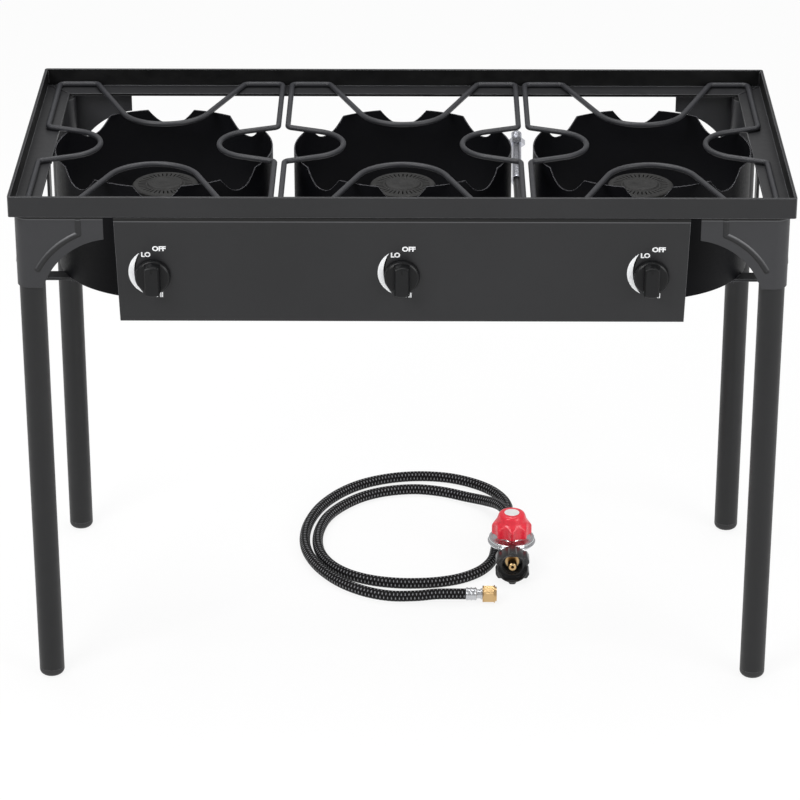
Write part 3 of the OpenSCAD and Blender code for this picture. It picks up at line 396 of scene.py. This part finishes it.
def plastic(name, colour, rough=0.4, grain=1400.0, depth=0.00003, coat=0.0, shine=0.5):
    m = Nodes(name)
    cloud = m.noise(25.0, 3.0)
    fine = m.noise(grain, 2.0)
    tone = m.mix(m.ramp(cloud, 0.3, 0.7, 0.0, 1.0), shade(colour, 0.93), shade(colour, 1.07))
    m.set(Base_Color=tone, Roughness=m.ramp(fine, 0.3, 0.7, rough - 0.04, rough + 0.05))
    m.shader.inputs["Specular IOR Level"].default_value = shine
    m.shader.inputs["Coat Weight"].default_value = coat
    m.shader.inputs["Coat Roughness"].default_value = 0.08
    m.bump((fine, 0.3, depth), edge=0.0007)
    return m.mat


def print_white(name):
    """Screen-printed white ink with a slightly uneven coat."""
    m = Nodes(name)
    grain = m.noise(2500.0, 3.0)
    tone = m.mix(m.ramp(grain, 0.35, 0.65, 0.0, 1.0), (0.74, 0.75, 0.76), (0.86, 0.87, 0.88))
    m.set(Base_Color=tone, Roughness=m.ramp(grain, 0.3, 0.7, 0.45, 0.6))
    m.bump((grain, 0.1, 0.00002),)
    return m.mat


def hose_jacket(name):
    """Black jacket woven from glossy threads: raised stitches in staggered rows, their tops painted
    pale as painted glints.
    """
    m = Nodes(name)
    uv = m.node("ShaderNodeTexCoord").outputs["UV"]
    split = m.node("ShaderNodeSeparateXYZ")
    m.link(uv, split.inputs["Vector"])
    waves = []
    for turn in (1.0, -1.0):
        along = m.node("ShaderNodeMath", operation="MULTIPLY")
        m.link(split.outputs["X"], along.inputs[0])
        along.inputs[1].default_value = STITCH_PER_M
        around = m.node("ShaderNodeMath", operation="MULTIPLY_ADD")
        m.link(split.outputs["Y"], around.inputs[0])
        around.inputs[1].default_value = STITCH_ROWS * turn
        m.link(along.outputs[0], around.inputs[2])
        wave = m.node("ShaderNodeMath", operation="MULTIPLY")
        m.link(around.outputs[0], wave.inputs[0])
        wave.inputs[1].default_value = 2 * math.pi
        sine = m.node("ShaderNodeMath", operation="SINE")
        m.link(wave.outputs[0], sine.inputs[0])
        waves.append(sine.outputs[0])
    both = m.node("ShaderNodeMath", operation="ADD")
    m.link(waves[0], both.inputs[0])
    m.link(waves[1], both.inputs[1])
    stitch = m.ramp(both.outputs[0], -0.8, 1.6, 0.0, 1.0)
    top = m.ramp(both.outputs[0], 0.9, 1.5, 0.0, 1.0)
    fine = m.noise(900.0, 3.0)
    # painted highlight: the stitch tops are coloured pale to stand for glints
    tone = m.mix(top, (0.0015, 0.0015, 0.0017), (0.21, 0.21, 0.22))
    m.set(Base_Color=tone, Roughness=m.ramp(stitch, 0.2, 1.0, 0.6, 0.22))
    m.shader.inputs["Specular IOR Level"].default_value = 0.18
    m.bump((stitch, 0.9, 0.0011), (fine, 0.10, 0.00004))
    return m.mat


STITCH_PER_M = 170.0
STITCH_ROWS = 4.0
BLACK = (0.0135, 0.0137, 0.0150)
# painted highlight colours for the edges and upward faces of the coat and the enamel, and the
# painted shade colour for the line under the rim and the bead's downward faces
PAINTED_HIGHLIGHT = (0.150, 0.152, 0.160)
ENAMEL_HIGHLIGHT = (0.26, 0.26, 0.28)
PAINTED_SHADE = (0.0004, 0.0004, 0.0004)
MATS = {
    "frame_paint": powder_coat("frame_coat", BLACK, shaded_inward=True),
    "bracket_paint": powder_coat("bracket_coat", shade(BLACK, 2.0), seam=True, bead=True),
    "leg_paint": powder_coat("leg_coat", shade(BLACK, 0.62)),
    "glide_plastic": plastic("glide_plastic", (0.014, 0.014, 0.015), 0.5),
    "black_screw": metal("black_oxide", (0.045, 0.045, 0.048), 0.38),
    "drum_enamel": heat_enamel("drum_enamel", (0.0030, 0.0031, 0.0042), 0.5),
    "grate_paint": powder_coat("grate_coat", (0.024, 0.0245, 0.028), 0.45, 700.0, 0.00008),
    "burner_iron": cast_iron("burner_iron", (0.018, 0.0178, 0.0175)),
    "zinc_plate": metal("zinc_plate", (0.60, 0.61, 0.63), 0.30, 0.06, 300.0, relief=0.0),
    "valve_brass": metal("brass", (0.66, 0.45, 0.22), 0.31, 0.06, 300.0, relief=0.0),
    "inlet_steel": metal("bright_plate", (0.62, 0.63, 0.68), 0.24, tarnish=0.05, edge=0.0),
    "knob_plastic": plastic("knob_plastic", (0.006, 0.0062, 0.0068), 0.36, shine=0.25),
    "regulator_cast": metal("die_cast", (0.72, 0.73, 0.75), 0.20, 0.05, 300.0, relief=0.0),
    "red_plastic": plastic("red_plastic", (0.80, 0.022, 0.045), 0.3, coat=0.3),
    "nut_plastic": plastic("nut_plastic", (0.012, 0.012, 0.013), 0.33, coat=0.2),
    "hose_rubber": hose_jacket("hose_jacket"),
}
PANEL_COAT = powder_coat("panel_coat", shade(BLACK, 0.92), seam=True)
WHITE_INK = print_white("white_ink")
STICKER = plastic("sticker_white", (0.80, 0.80, 0.80), 0.35)

for entry in frame["record"]["subparts"]:
    node = NODES[entry["node"]]
    node.data.materials.clear()
    node.data.materials.append(MATS[entry["material_slot"]])
NODES["control_panel"].data.materials[0] = PANEL_COAT
NODES["guard_bolts"].data.materials[0] = MATS["black_screw"]


# ------------------------------------------------------------------ hose
HOSE_DIAMETER = 0.017
HOSE_PATH = [
    (172, 175, 29), (172, 200, 29), (168, 229, 29), (156, 262, 26), (136, 294, 17),
    (105, 322, 10), (64, 343, 9), (20, 352, 9), (-26, 345, 9), (-66, 325, 9),
    (-99, 292, 9), (-123, 252, 9), (-135, 206, 9), (-137, 160, 9), (-129, 118, 9),
    (-111, 82, 9), (-84, 54, 9), (-50, 36, 9), (-12, 27, 9), (26, 26, 9),
    (60, 31, 9), (90, 42, 9), (115, 60, 9), (132, 82, 9), (143, 109, 9),
    (148, 142, 9), (154, 182, 9), (163, 222, 9), (170, 262, 9), (168, 301, 9),
    (151, 339, 9), (121, 370, 9), (77, 393, 9), (27, 400, 9), (-23, 392, 9),
    (-69, 370, 9), (-106, 335, 9), (-134, 290, 9), (-151, 240, 9), (-158, 190, 9),
    (-155, 142, 9), (-141, 96, 9), (-119, 56, 9), (-91, 23, 9), (-56, -2, 9),
    (-18, -16, 9.5), (22, -20, 12), (50, -20, 15), (74, -20, 15.5), (98, -20, 15.5),
]


def smooth_path(points, per_span=6):
    """Catmull-Rom curve through the points."""
    pts = [Vector(p) / 1000.0 for p in points]
    ext = [2 * pts[0] - pts[1], *pts, 2 * pts[-1] - pts[-2]]
    out = []
    for k in range(1, len(ext) - 2):
        p0, p1, p2, p3 = ext[k - 1: k + 3]
        for j in range(per_span):
            t = j / per_span
            out.append(0.5 * (2 * p1 + (p2 - p0) * t + (2 * p0 - 5 * p1 + 4 * p2 - p3) * t * t
                              + (3 * p1 - p0 - 3 * p2 + p3) * t ** 3))
    out.append(pts[-1])
    return out


def mm(points):
    return [tuple(c / 1000.0 for c in p) for p in points]


def banded_sleeve(start, end, bands):
    """Outline of a crimped sleeve, in mm: the hose's ferrule with raised bands."""
    out = [(start, 8.9), (start + 0.5, 9.4)]
    for b in bands:
        out += [(b, 9.4), (b + 0.2, 10.0), (b + 0.6, 10.2),
                (b + 1.8, 10.2), (b + 2.2, 10.0), (b + 2.4, 9.4)]
    return out + [(end - 0.5, 9.4), (end, 8.9)]


def make_sleeves():
    """Crimped sleeves at both ends of the hose, and the stem that carries the flare nut."""
    bm = bmesh.new()
    lathe(bm, mm(banded_sleeve(149, 175, (154, 161, 168))), (REG_X, 0, REG_Z), (0, 1, 0), 64)
    lathe(bm, mm(banded_sleeve(98, 115, (99, 105.3, 111.6)) + [
        (115.2, 7), (121, 7), (121, 8.2), (121.4, 8.5), (123.7, 8.5), (123.7, 6), (130, 6),
    ]), (0, *FLARE_AT), (1, 0, 0), 64)
    keep_sharp(bm)
    piece = mesh_piece("hose_sleeves", bm, MATS["zinc_plate"], "stand")
    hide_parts("hose_ferrules")
    return piece


def make_swivel_nut():
    """Brass swivel nut: a hexagon between two round collars, open at its far end."""
    bm = bmesh.new()
    turn(bm, mm([
        (0, 12.2), (0.5, 13), (1.5, 13), (2, 12.5), (2, 13.2, 12.5), (2.9, 14.43, 12.5),
        (16.6, 14.43, 12.5), (17.5, 13.3, 12.5), (17.5, 13.4), (17.9, 13.75), (19.1, 13.75),
        (19.5, 13.3), (19.5, 11.5), (21.6, 11.5), (22, 11.1), (22, 8.6), (21.4, 8.05), (6, 8.05),
        (6, 6.1), (0, 6.1),
    ]), (0.124, *FLARE_AT), (1, 0, 0), 96)
    keep_sharp(bm, 25.0)
    piece = mesh_piece("swivel_nut", bm, MATS["valve_brass"], "flare_nut_body")
    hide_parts("flare_nut")
    return piece


def make_hose():
    path = smooth_path(HOSE_PATH)
    sides = 20
    radius = HOSE_DIAMETER / 2
    bm = bmesh.new()
    uv = bm.loops.layers.uv.new("UVMap")
    rings = []
    done = 0.0
    for k, p in enumerate(path):
        a, b = path[max(k - 1, 0)], path[min(k + 1, len(path) - 1)]
        t = (b - a).normalized()
        u = Vector((0, 0, 1)).cross(t).normalized()
        v = t.cross(u)
        if k:
            done += (p - path[k - 1]).length
        rings.append((done, [
            bm.verts.new(p + radius * (math.cos(2 * math.pi * s / sides) * u
                                       + math.sin(2 * math.pi * s / sides) * v))
            for s in range(sides)
        ]))
    for (da, a), (db, b) in zip(rings, rings[1:]):
        for s in range(sides):
            f = bm.faces.new((a[s], b[s], b[(s + 1) % sides], a[(s + 1) % sides]))
            for loop, (x, y) in zip(f.loops, ((da, s), (db, s), (db, s + 1), (da, s + 1))):
                loop[uv].uv = (x, y / sides)
    bm.faces.new(rings[0][1])
    bm.faces.new(list(reversed(rings[-1][1])))
    bmesh.ops.recalc_face_normals(bm, faces=bm.faces)
    obj = mesh_piece("hose_woven", bm, MATS["hose_rubber"], "stand")
    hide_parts("hose")
    make_sleeves()
    make_swivel_nut()


make_hose()


# ------------------------------------------------------------------ panel markings
def arc(centre, radius, a0, a1, steps=28):
    return [
        (centre[0] + radius * math.cos(a0 + (a1 - a0) * k / steps),
         centre[1] + radius * math.sin(a0 + (a1 - a0) * k / steps))
        for k in range(steps + 1)
    ]


def flow_sign():
    """Outline of the mark that widens from LO to HI, in mm about the knob: a ring between two
    circles that are not quite concentric."""
    c1, r1 = (0.4, 5.3), 34.5
    c2, r2 = (25.5, 6.8), 51.6
    d = math.hypot(c2[0] - c1[0], c2[1] - c1[1])
    along = (d * d + r1 * r1 - r2 * r2) / (2 * d)
    half = math.sqrt(r1 * r1 - along * along)
    ux, uy = (c2[0] - c1[0]) / d, (c2[1] - c1[1]) / d
    top = (c1[0] + along * ux - half * uy, c1[1] + along * uy + half * ux)
    low = (c1[0] + along * ux + half * uy, c1[1] + along * uy - half * ux)

    def angle(c, p):
        return math.atan2(p[1] - c[1], p[0] - c[0]) % (2 * math.pi)

    outer = arc(c1, r1, angle(c1, top), angle(c1, low))
    inner = arc(c2, r2, angle(c2, low), angle(c2, top))
    return outer + inner[1:-1]


def word(text, centre, height, width):
    """Vertices and triangles of a word, in mm, centred and sized."""
    data = bpy.data.curves.new("word", "FONT")
    data.body = text
    data.offset = 0.045
    obj = link(bpy.data.objects.new("word", data))
    bpy.context.view_layer.update()
    mesh = obj.evaluated_get(bpy.context.evaluated_depsgraph_get()).to_mesh()
    co = np.array([v.co[:2] for v in mesh.vertices])
    tris = [tuple(p.vertices) for p in mesh.polygons]
    obj.to_mesh_clear()
    bpy.data.objects.remove(obj)
    bpy.data.curves.remove(data)
    low, high = co.min(0), co.max(0)
    scale = np.array([width, height]) / (high - low)
    return (co - (low + high) / 2) * scale + np.array(centre), tris


def make_markings():
    for side, i in ROWS.items():
        bm = bmesh.new()
        y = PANEL_Y - 0.00015

        def place(x, z):
            return bm.verts.new((PITCH * i + x / 1000, y, KNOB_Z + z / 1000))

        bm.faces.new([place(x, z) for x, z in flow_sign()])
        for text, centre, h, w in (
            ("LO", (-9.0, 32.0), 7.5, 13.0), ("OFF", (9.7, 41.0), 7.5, 19.0),
            ("HI", (9.0, -29.0), 7.5, 9.0),
        ):
            co, tris = word(text, centre, h, w)
            vs = [place(x, z) for x, z in co]
            for t in tris:
                bm.faces.new([vs[k] for k in t])
        bmesh.ops.triangulate(bm, faces=bm.faces[:])
        mesh_piece(f"dial_marks_{side}", bm, WHITE_INK, "stand", smooth=False)


make_markings()


# ------------------------------------------------------------------ regulator details
KNOB_Z0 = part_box("regulator_knob")[0].z
KNOB_TOP_Z = KNOB_Z0 + KNOB_HEIGHT


def make_housing():
    """Round housing with a double rolled rim, its core, and the inlet and outlet necks."""
    bm = bmesh.new()
    lathe(bm, mm([
        (-6, 16.6), (-1.6, 27.6), (-1.3, 29), (-1.2, 35.6), (-0.9, 36.8), (-0.2, 37.5), (0.6, 37.9),
        (1.4, 37.9), (2.1, 37.5), (2.7, 36.7), (3.1, 35.8), (3.6, 35.1), (4.3, 34.8), (4.9, 35.2),
        (5.5, 35.9), (6.2, 36.2), (7.0, 36.1), (7.7, 35.6), (8.2, 34.8), (8.4, 33.8), (8.2, 32.9),
        (7.6, 32.1), (6.9, 31.3), (6.4, 30.2), (6.3, 28.6), (6.9, 24), (7.9, 21.6), (9.5, 20.2),
        (12.6, 19.2), (13.6, 18.6), (14.0, 17.6),
    ]), (REG_X, REG_Y, 0.038), (0, 0, 1), 128)
    lathe(bm, mm([(0, 15.5), (1.5, 17), (20, 17)]), (REG_X, REG_Y, 0.015), (0, 0, 1), 64)
    lathe(bm, mm([(0, 11), (41, 11)]), (REG_X, 0.0745, REG_Z), (0, 1, 0), 48)
    lathe(bm, mm([(0, 10), (32.6, 10), (33.4, 9.6), (34, 8.8)]),
          (REG_X, REG_Y, REG_Z), (0, 1, 0), 48)
    keep_sharp(bm)
    piece = mesh_piece("regulator_housing", bm, MATS["regulator_cast"], "stand")
    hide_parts("regulator_body")


def soft_min(a, b, blend):
    """Smaller of two lengths, with the crossing rounded off."""
    h = max(blend - abs(a - b), 0.0) / blend
    return min(a, b) - h * h * blend / 4


def make_red_knob():
    """Eight pointed lobes under a cone with a flat top: round cuts down the side of a turned
    form, their crossings rounded as moulding leaves them."""
    outline = [(0, 30.6), (0.6, 31.4), (1.6, 31.9), (13, 31.7), (15, 31.0), (17, 29.2),
               (20.5, 26.2), (24, 24.0), (28, 22.6), (31.6, 21.4), (33.6, 20.5), (34.8, 19.4),
               (35.6, 18.0), (36, 16.4)]
    levels = np.concatenate([np.linspace(0, 2, 5), np.linspace(3, 13, 9), np.linspace(13.5, 26, 22),
                             np.linspace(27, 33, 6), np.linspace(33.5, 36, 8)])
    steps, lobes, cut_r, reach = 192, 8, 18.0, 44.5
    bm = bmesh.new()
    rings = []
    for z in levels:
        turned = float(np.interp(z, [p[0] for p in outline], [p[1] for p in outline]))
        ring = []
        for s in range(steps):
            a = 2 * math.pi * s / steps
            off = (a + math.pi / lobes) % (2 * math.pi / lobes) - math.pi / lobes
            side = reach * math.cos(off) - math.sqrt(cut_r ** 2 - (reach * math.sin(off)) ** 2)
            r = soft_min(turned, soft_min(side, 32.0, 1.6), 1.6) / 1000
            a += math.pi / lobes
            ring.append(bm.verts.new((REG_X + r * math.cos(a), REG_Y + r * math.sin(a),
                                      KNOB_Z0 + float(z) / 1000)))
        rings.append(ring)
    for a, b in zip(rings, rings[1:]):
        for s in range(steps):
            bm.faces.new((a[s], a[(s + 1) % steps], b[(s + 1) % steps], b[s]))
    bm.faces.new(list(reversed(rings[0])))
    bm.faces.new(rings[-1])
    keep_sharp(bm, 50.0)
    piece = mesh_piece("red_knob", bm, MATS["red_plastic"], "regulator_knob_body")
    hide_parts("regulator_knob")


def make_hand_nut():
    """Hand nut with a deep mouth, a threaded bore and six wings to grip."""
    bm = bmesh.new()
    turn(bm, mm([
        (0, 23.2), (0.5, 24.1), (1.3, 24.5), (31.4, 24.5), (32.4, 24.1), (37.4, 19.9), (38, 19.2),
        (38, 9.2), (30, 9.2), (30, 16.7), (13, 16.7), (13, 22), (1, 22), (0, 22.6),
    ]), (REG_X, NUT_FRONT, REG_Z), (0, 1, 0))
    for k in range(6):
        a = math.radians(60 * k + 30)
        out, side = Vector((math.cos(a), 0, math.sin(a))), Vector((-math.sin(a), 0, math.cos(a)))
        wing = [(21.5, -8), (26.6, -5.4), (28.1, -4.1), (28.5, -2.8), (28.5, 2.8), (28.1, 4.1),
                (26.6, 5.4), (21.5, 8)]
        rings = []
        for y, inset in ((38.0, 0.9), (38.5, 0.3), (39.3, 0.0), (63.6, 0.0), (64.5, 0.4),
                         (65.0, 1.2)):
            rings.append([
                bm.verts.new(Vector((REG_X, y / 1000, REG_Z)) + out * (r - inset) / 1000
                             + side * (w - math.copysign(inset * 0.6, w)) / 1000)
                for r, w in wing
            ])
        for p, q in zip(rings, rings[1:]):
            for j in range(len(wing)):
                bm.faces.new((p[j], p[(j + 1) % len(wing)], q[(j + 1) % len(wing)], q[j]))
        bm.faces.new(list(reversed(rings[0])))
        bm.faces.new(rings[-1])
    bmesh.ops.recalc_face_normals(bm, faces=bm.faces)
    keep_sharp(bm)
    piece = mesh_piece("hand_nut", bm, MATS["nut_plastic"], "tank_nut_body")
    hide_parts("tank_nut")


def make_nipple():
    """Brass nipple with a bored, bevelled nose."""
    bm = bmesh.new()
    turn(bm, mm([
        (6, 4.9), (6.3, 5.7), (7.4, 6.7), (8.4, 7), (26, 7), (26, 11), (29.7, 11), (29.7, 9),
        (38.4, 9), (38.4, 2), (7.2, 2), (6, 2.9),
    ]), (REG_X, NUT_FRONT, REG_Z), (0, 1, 0), 64)
    keep_sharp(bm)
    piece = mesh_piece("nipple", bm, MATS["valve_brass"], "stand")
    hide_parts("tank_nipple")


def make_sticker():
    bm = bmesh.new()
    lathe(bm, [(0.0, 0.0118), (0.00022, 0.0118), (0.00028, 0.0115)],
          (REG_X, REG_Y, KNOB_TOP_Z - 0.00005), (0, 0, 1), 64)
    mesh_piece("knob_sticker", bm, STICKER, "regulator_knob_body", smooth=False)


def make_socket_thread():
    """Thread inside the tank nut, from behind its mouth to the nipple's collar."""
    mouth_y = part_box("tank_nut")[0].y
    bm = bmesh.new()
    helix(bm, (REG_X, mouth_y + 0.0145, REG_Z), (0, 1, 0), 0.0167, 0.005, 2.6, 0.0011, 8, 40)
    mesh_piece("tank_nut_thread", bm, MATS["nut_plastic"], "tank_nut_body")


def make_inlet_thread():
    slope = Vector((0, math.sqrt(0.5), math.sqrt(0.5)))
    start = Vector(INLET_BEND) + slope * 0.0665
    bm = bmesh.new()
    helix(bm, start, slope, 0.00785, 0.0014, 8, 0.00045, 6, 32)
    mesh_piece("inlet_thread", bm, MATS["inlet_steel"], "stand")


make_housing()
make_red_knob()
make_hand_nut()
make_nipple()
make_sticker()
make_socket_thread()
make_inlet_thread()


# ------------------------------------------------------------------ screw threads and welds
def make_leg_screw_threads():
    for corner, (sx, sy) in CORNERS.items():
        away = Vector((-sx, -sy, 0)).normalized()
        axis_point = Vector((sx * LEG_AXIS[0], sy * LEG_AXIS[1], LEG_SCREW_Z))
        bm = bmesh.new()
        helix(bm, axis_point + away * 0.0266, away, 0.00295, 0.001, 7, 0.00028, 5, 24)
        mesh_piece(f"leg_screw_thread_{corner}", bm, MATS["black_screw"],
                   f"leg_screw_{corner}_body")


def weld(bm, start, end, radius, ripple=0.004):
    """Rippled weld bead along a straight seam."""
    a, b = Vector(start), Vector(end)
    steps = max(6, int((b - a).length / (ripple / 6)))
    u, v = frame_of(b - a)
    rings = []
    sides = 8
    for k in range(steps + 1):
        t = k / steps
        p = a.lerp(b, t)
        phase = (t * (b - a).length / ripple) % 1.0
        end_taper = min(1.0, 6 * t + 0.25, 6 * (1 - t) + 0.25)
        r = radius * end_taper * (0.82 + 0.25 * math.sin(math.pi * phase))
        p = p + u * radius * 0.12 * math.sin(37.0 * t + 1.3)
        rings.append([
            bm.verts.new(p + r * (math.cos(2 * math.pi * s / sides) * u
                                  + math.sin(2 * math.pi * s / sides) * v))
            for s in range(sides)
        ])
    for p, q in zip(rings, rings[1:]):
        for s in range(sides):
            bm.faces.new((p[s], p[(s + 1) % sides], q[(s + 1) % sides], q[s]))
    bm.faces.new(list(reversed(rings[0])))
    bm.faces.new(rings[-1])


def make_frame_welds():
    """Beads on the mitres of the flange, in the wall's inner corners, and where brackets,
    support bars and panel meet the underside of the rim."""
    bm = bmesh.new()
    for sx, sy in CORNERS.values():
        for start, end, radius in (
            ((0.5095, 0.2245, FLANGE_TOP), (0.5455, 0.2605, FLANGE_TOP), 0.0016),
            ((0.5455, 0.2605, FLANGE_TOP), (0.5455, 0.2605, 0.7735), 0.0016),
            ((0.424, 0.2565, FLANGE_UNDER), (0.452, 0.2565, FLANGE_UNDER), 0.0016),
            ((0.470, 0.2565, FLANGE_UNDER), (0.502, 0.2565, FLANGE_UNDER), 0.0016),
            ((0.5415, 0.140, FLANGE_UNDER), (0.5415, 0.172, FLANGE_UNDER), 0.0016),
            ((0.5415, 0.190, FLANGE_UNDER), (0.5415, 0.218, FLANGE_UNDER), 0.0016),
            ((0.5268, 0.0585, FLANGE_UNDER), (0.5268, 0.0815, FLANGE_UNDER), 0.0018),
        ):
            weld(bm, (sx * start[0], sy * start[1], start[2]),
                 (sx * end[0], sy * end[1], end[2]), radius)
    for x0, x1 in ((-0.38, -0.33), (-0.20, -0.15), (0.15, 0.20), (0.33, 0.38)):
        weld(bm, (x0, -0.2395, FLANGE_UNDER), (x1, -0.2395, FLANGE_UNDER), 0.0016)
    mesh_piece("frame_welds", bm, MATS["frame_paint"], "stand")


def make_drum_seams():
    """Lapped seam down each drum, beside the rear scallop."""
    for side, i in ROWS.items():
        bm = bmesh.new()
        a0 = math.radians(112.0)
        step = math.radians(0.9)
        r0, r1 = 0.1594, 0.1602
        cols = []
        for k in range(6):
            a = a0 + (k - 2.5) * step
            r = r0 if k in (0, 5) else r1
            x, y = PITCH * i + r * math.cos(a), r * math.sin(a)
            cols.append([bm.verts.new((x, y, z)) for z in (0.5765, 0.745)])
        for p, q in zip(cols, cols[1:]):
            bm.faces.new((p[0], q[0], q[1], p[1]))
        for z in np.linspace(0.590, 0.732, 8):
            x, y = PITCH * i + r1 * math.cos(a0), r1 * math.sin(a0)
            lathe(bm, [(-0.0004, 0.0030), (0.0002, 0.0028), (0.0004, 0.0018), (0.0001, 0.0008)],
                  (x, y, float(z)), (math.cos(a0), math.sin(a0), 0), 16)
        mesh_piece(f"drum_seam_{side}", bm, MATS["drum_enamel"], "stand",
                   smooth=False)


make_leg_screw_threads()
make_frame_welds()
make_drum_seams()


# ------------------------------------------------------------------ stage and light
def make_stage():
    """Pale floor that fades into the background with distance."""
    bm = bmesh.new()
    corners = ((-1, -1), (1, -1), (1, 1), (-1, 1))
    bm.faces.new([bm.verts.new((x * FLOOR_HALF, y * FLOOR_HALF, 0.0)) for x, y in corners])
    data = bpy.data.meshes.new("floor")
    bm.to_mesh(data)
    bm.free()
    floor = link(bpy.data.objects.new("floor", data))
    mat = bpy.data.materials.new("studio_floor")
    mat.use_nodes = True
    tree = mat.node_tree
    shader = tree.nodes["Principled BSDF"]
    shader.inputs["Base Color"].default_value = (0.86, 0.86, 0.86, 1)
    shader.inputs["Roughness"].default_value = 0.9
    glow = tree.nodes.new("ShaderNodeEmission")
    glow.inputs["Color"].default_value = (1, 1, 1, 1)
    glow.inputs["Strength"].default_value = 1.0
    path = tree.nodes.new("ShaderNodeLightPath")
    seen = tree.nodes.new("ShaderNodeMath")
    seen.operation = "MAXIMUM"
    tree.links.new(path.outputs["Is Camera Ray"], seen.inputs[0])
    tree.links.new(path.outputs["Is Glossy Ray"], seen.inputs[1])
    amount = tree.nodes.new("ShaderNodeMath")
    amount.operation = "MULTIPLY"
    place = tree.nodes.new("ShaderNodeNewGeometry")
    away = tree.nodes.new("ShaderNodeVectorMath")
    away.operation = "LENGTH"
    tree.links.new(place.outputs["Position"], away.inputs[0])
    fade = tree.nodes.new("ShaderNodeMapRange")
    fade.inputs["From Min"].default_value = 1.5
    fade.inputs["From Max"].default_value = 6.0
    fade.inputs["To Min"].default_value = 0.86
    fade.inputs["To Max"].default_value = 1.0
    tree.links.new(away.outputs["Value"], fade.inputs["Value"])
    tree.links.new(fade.outputs["Result"], amount.inputs[1])
    tree.links.new(seen.outputs[0], amount.inputs[0])
    mix = tree.nodes.new("ShaderNodeMixShader")
    tree.links.new(amount.outputs[0], mix.inputs["Fac"])
    tree.links.new(shader.outputs[0], mix.inputs[1])
    tree.links.new(glow.outputs[0], mix.inputs[2])
    tree.links.new(mix.outputs[0], tree.nodes["Material Output"].inputs["Surface"])
    data.materials.append(mat)


def area_light(name, location, target, size, power):
    data = bpy.data.lights.new(name, "AREA")
    data.shape = "RECTANGLE"
    data.size, data.size_y = size
    data.energy = power
    obj = link(bpy.data.objects.new(name, data))
    obj.location = location
    obj.rotation_mode = "QUATERNION"
    way = Vector(target) - Vector(location)
    obj.rotation_quaternion = way.to_track_quat("-Z", "Y")


def make_light():
    world = bpy.data.worlds.new("studio")
    bpy.context.scene.world = world
    world.use_nodes = True
    tree = world.node_tree
    tree.nodes.clear()
    out = tree.nodes.new("ShaderNodeOutputWorld")
    seen = tree.nodes.new("ShaderNodeBackground")
    seen.inputs["Color"].default_value = (1, 1, 1, 1)
    seen.inputs["Strength"].default_value = 1.0
    lit = tree.nodes.new("ShaderNodeBackground")
    lit.inputs["Color"].default_value = (1, 1, 1, 1)
    lit.inputs["Strength"].default_value = 0.42
    path = tree.nodes.new("ShaderNodeLightPath")
    both = tree.nodes.new("ShaderNodeMath")
    both.operation = "MAXIMUM"
    tree.links.new(path.outputs["Is Camera Ray"], both.inputs[0])
    tree.links.new(path.outputs["Is Transmission Ray"], both.inputs[1])
    mix = tree.nodes.new("ShaderNodeMixShader")
    tree.links.new(both.outputs[0], mix.inputs["Fac"])
    tree.links.new(lit.outputs[0], mix.inputs[1])
    tree.links.new(seen.outputs[0], mix.inputs[2])
    tree.links.new(mix.outputs[0], out.inputs["Surface"])
    area_light("key", (-2.2, -2.6, 3.2), (0, 0, 0.5), (1.8, 1.8), 95)
    area_light("fill", (2.8, -2.2, 2.0), (0, 0, 0.5), (2.0, 2.0), 62)
    area_light("top", (0.0, 0.6, 3.6), (0, 0, 0.6), (3.0, 2.0), 85)


make_stage()
make_light()
bpy.context.scene.view_settings.view_transform = "Standard"
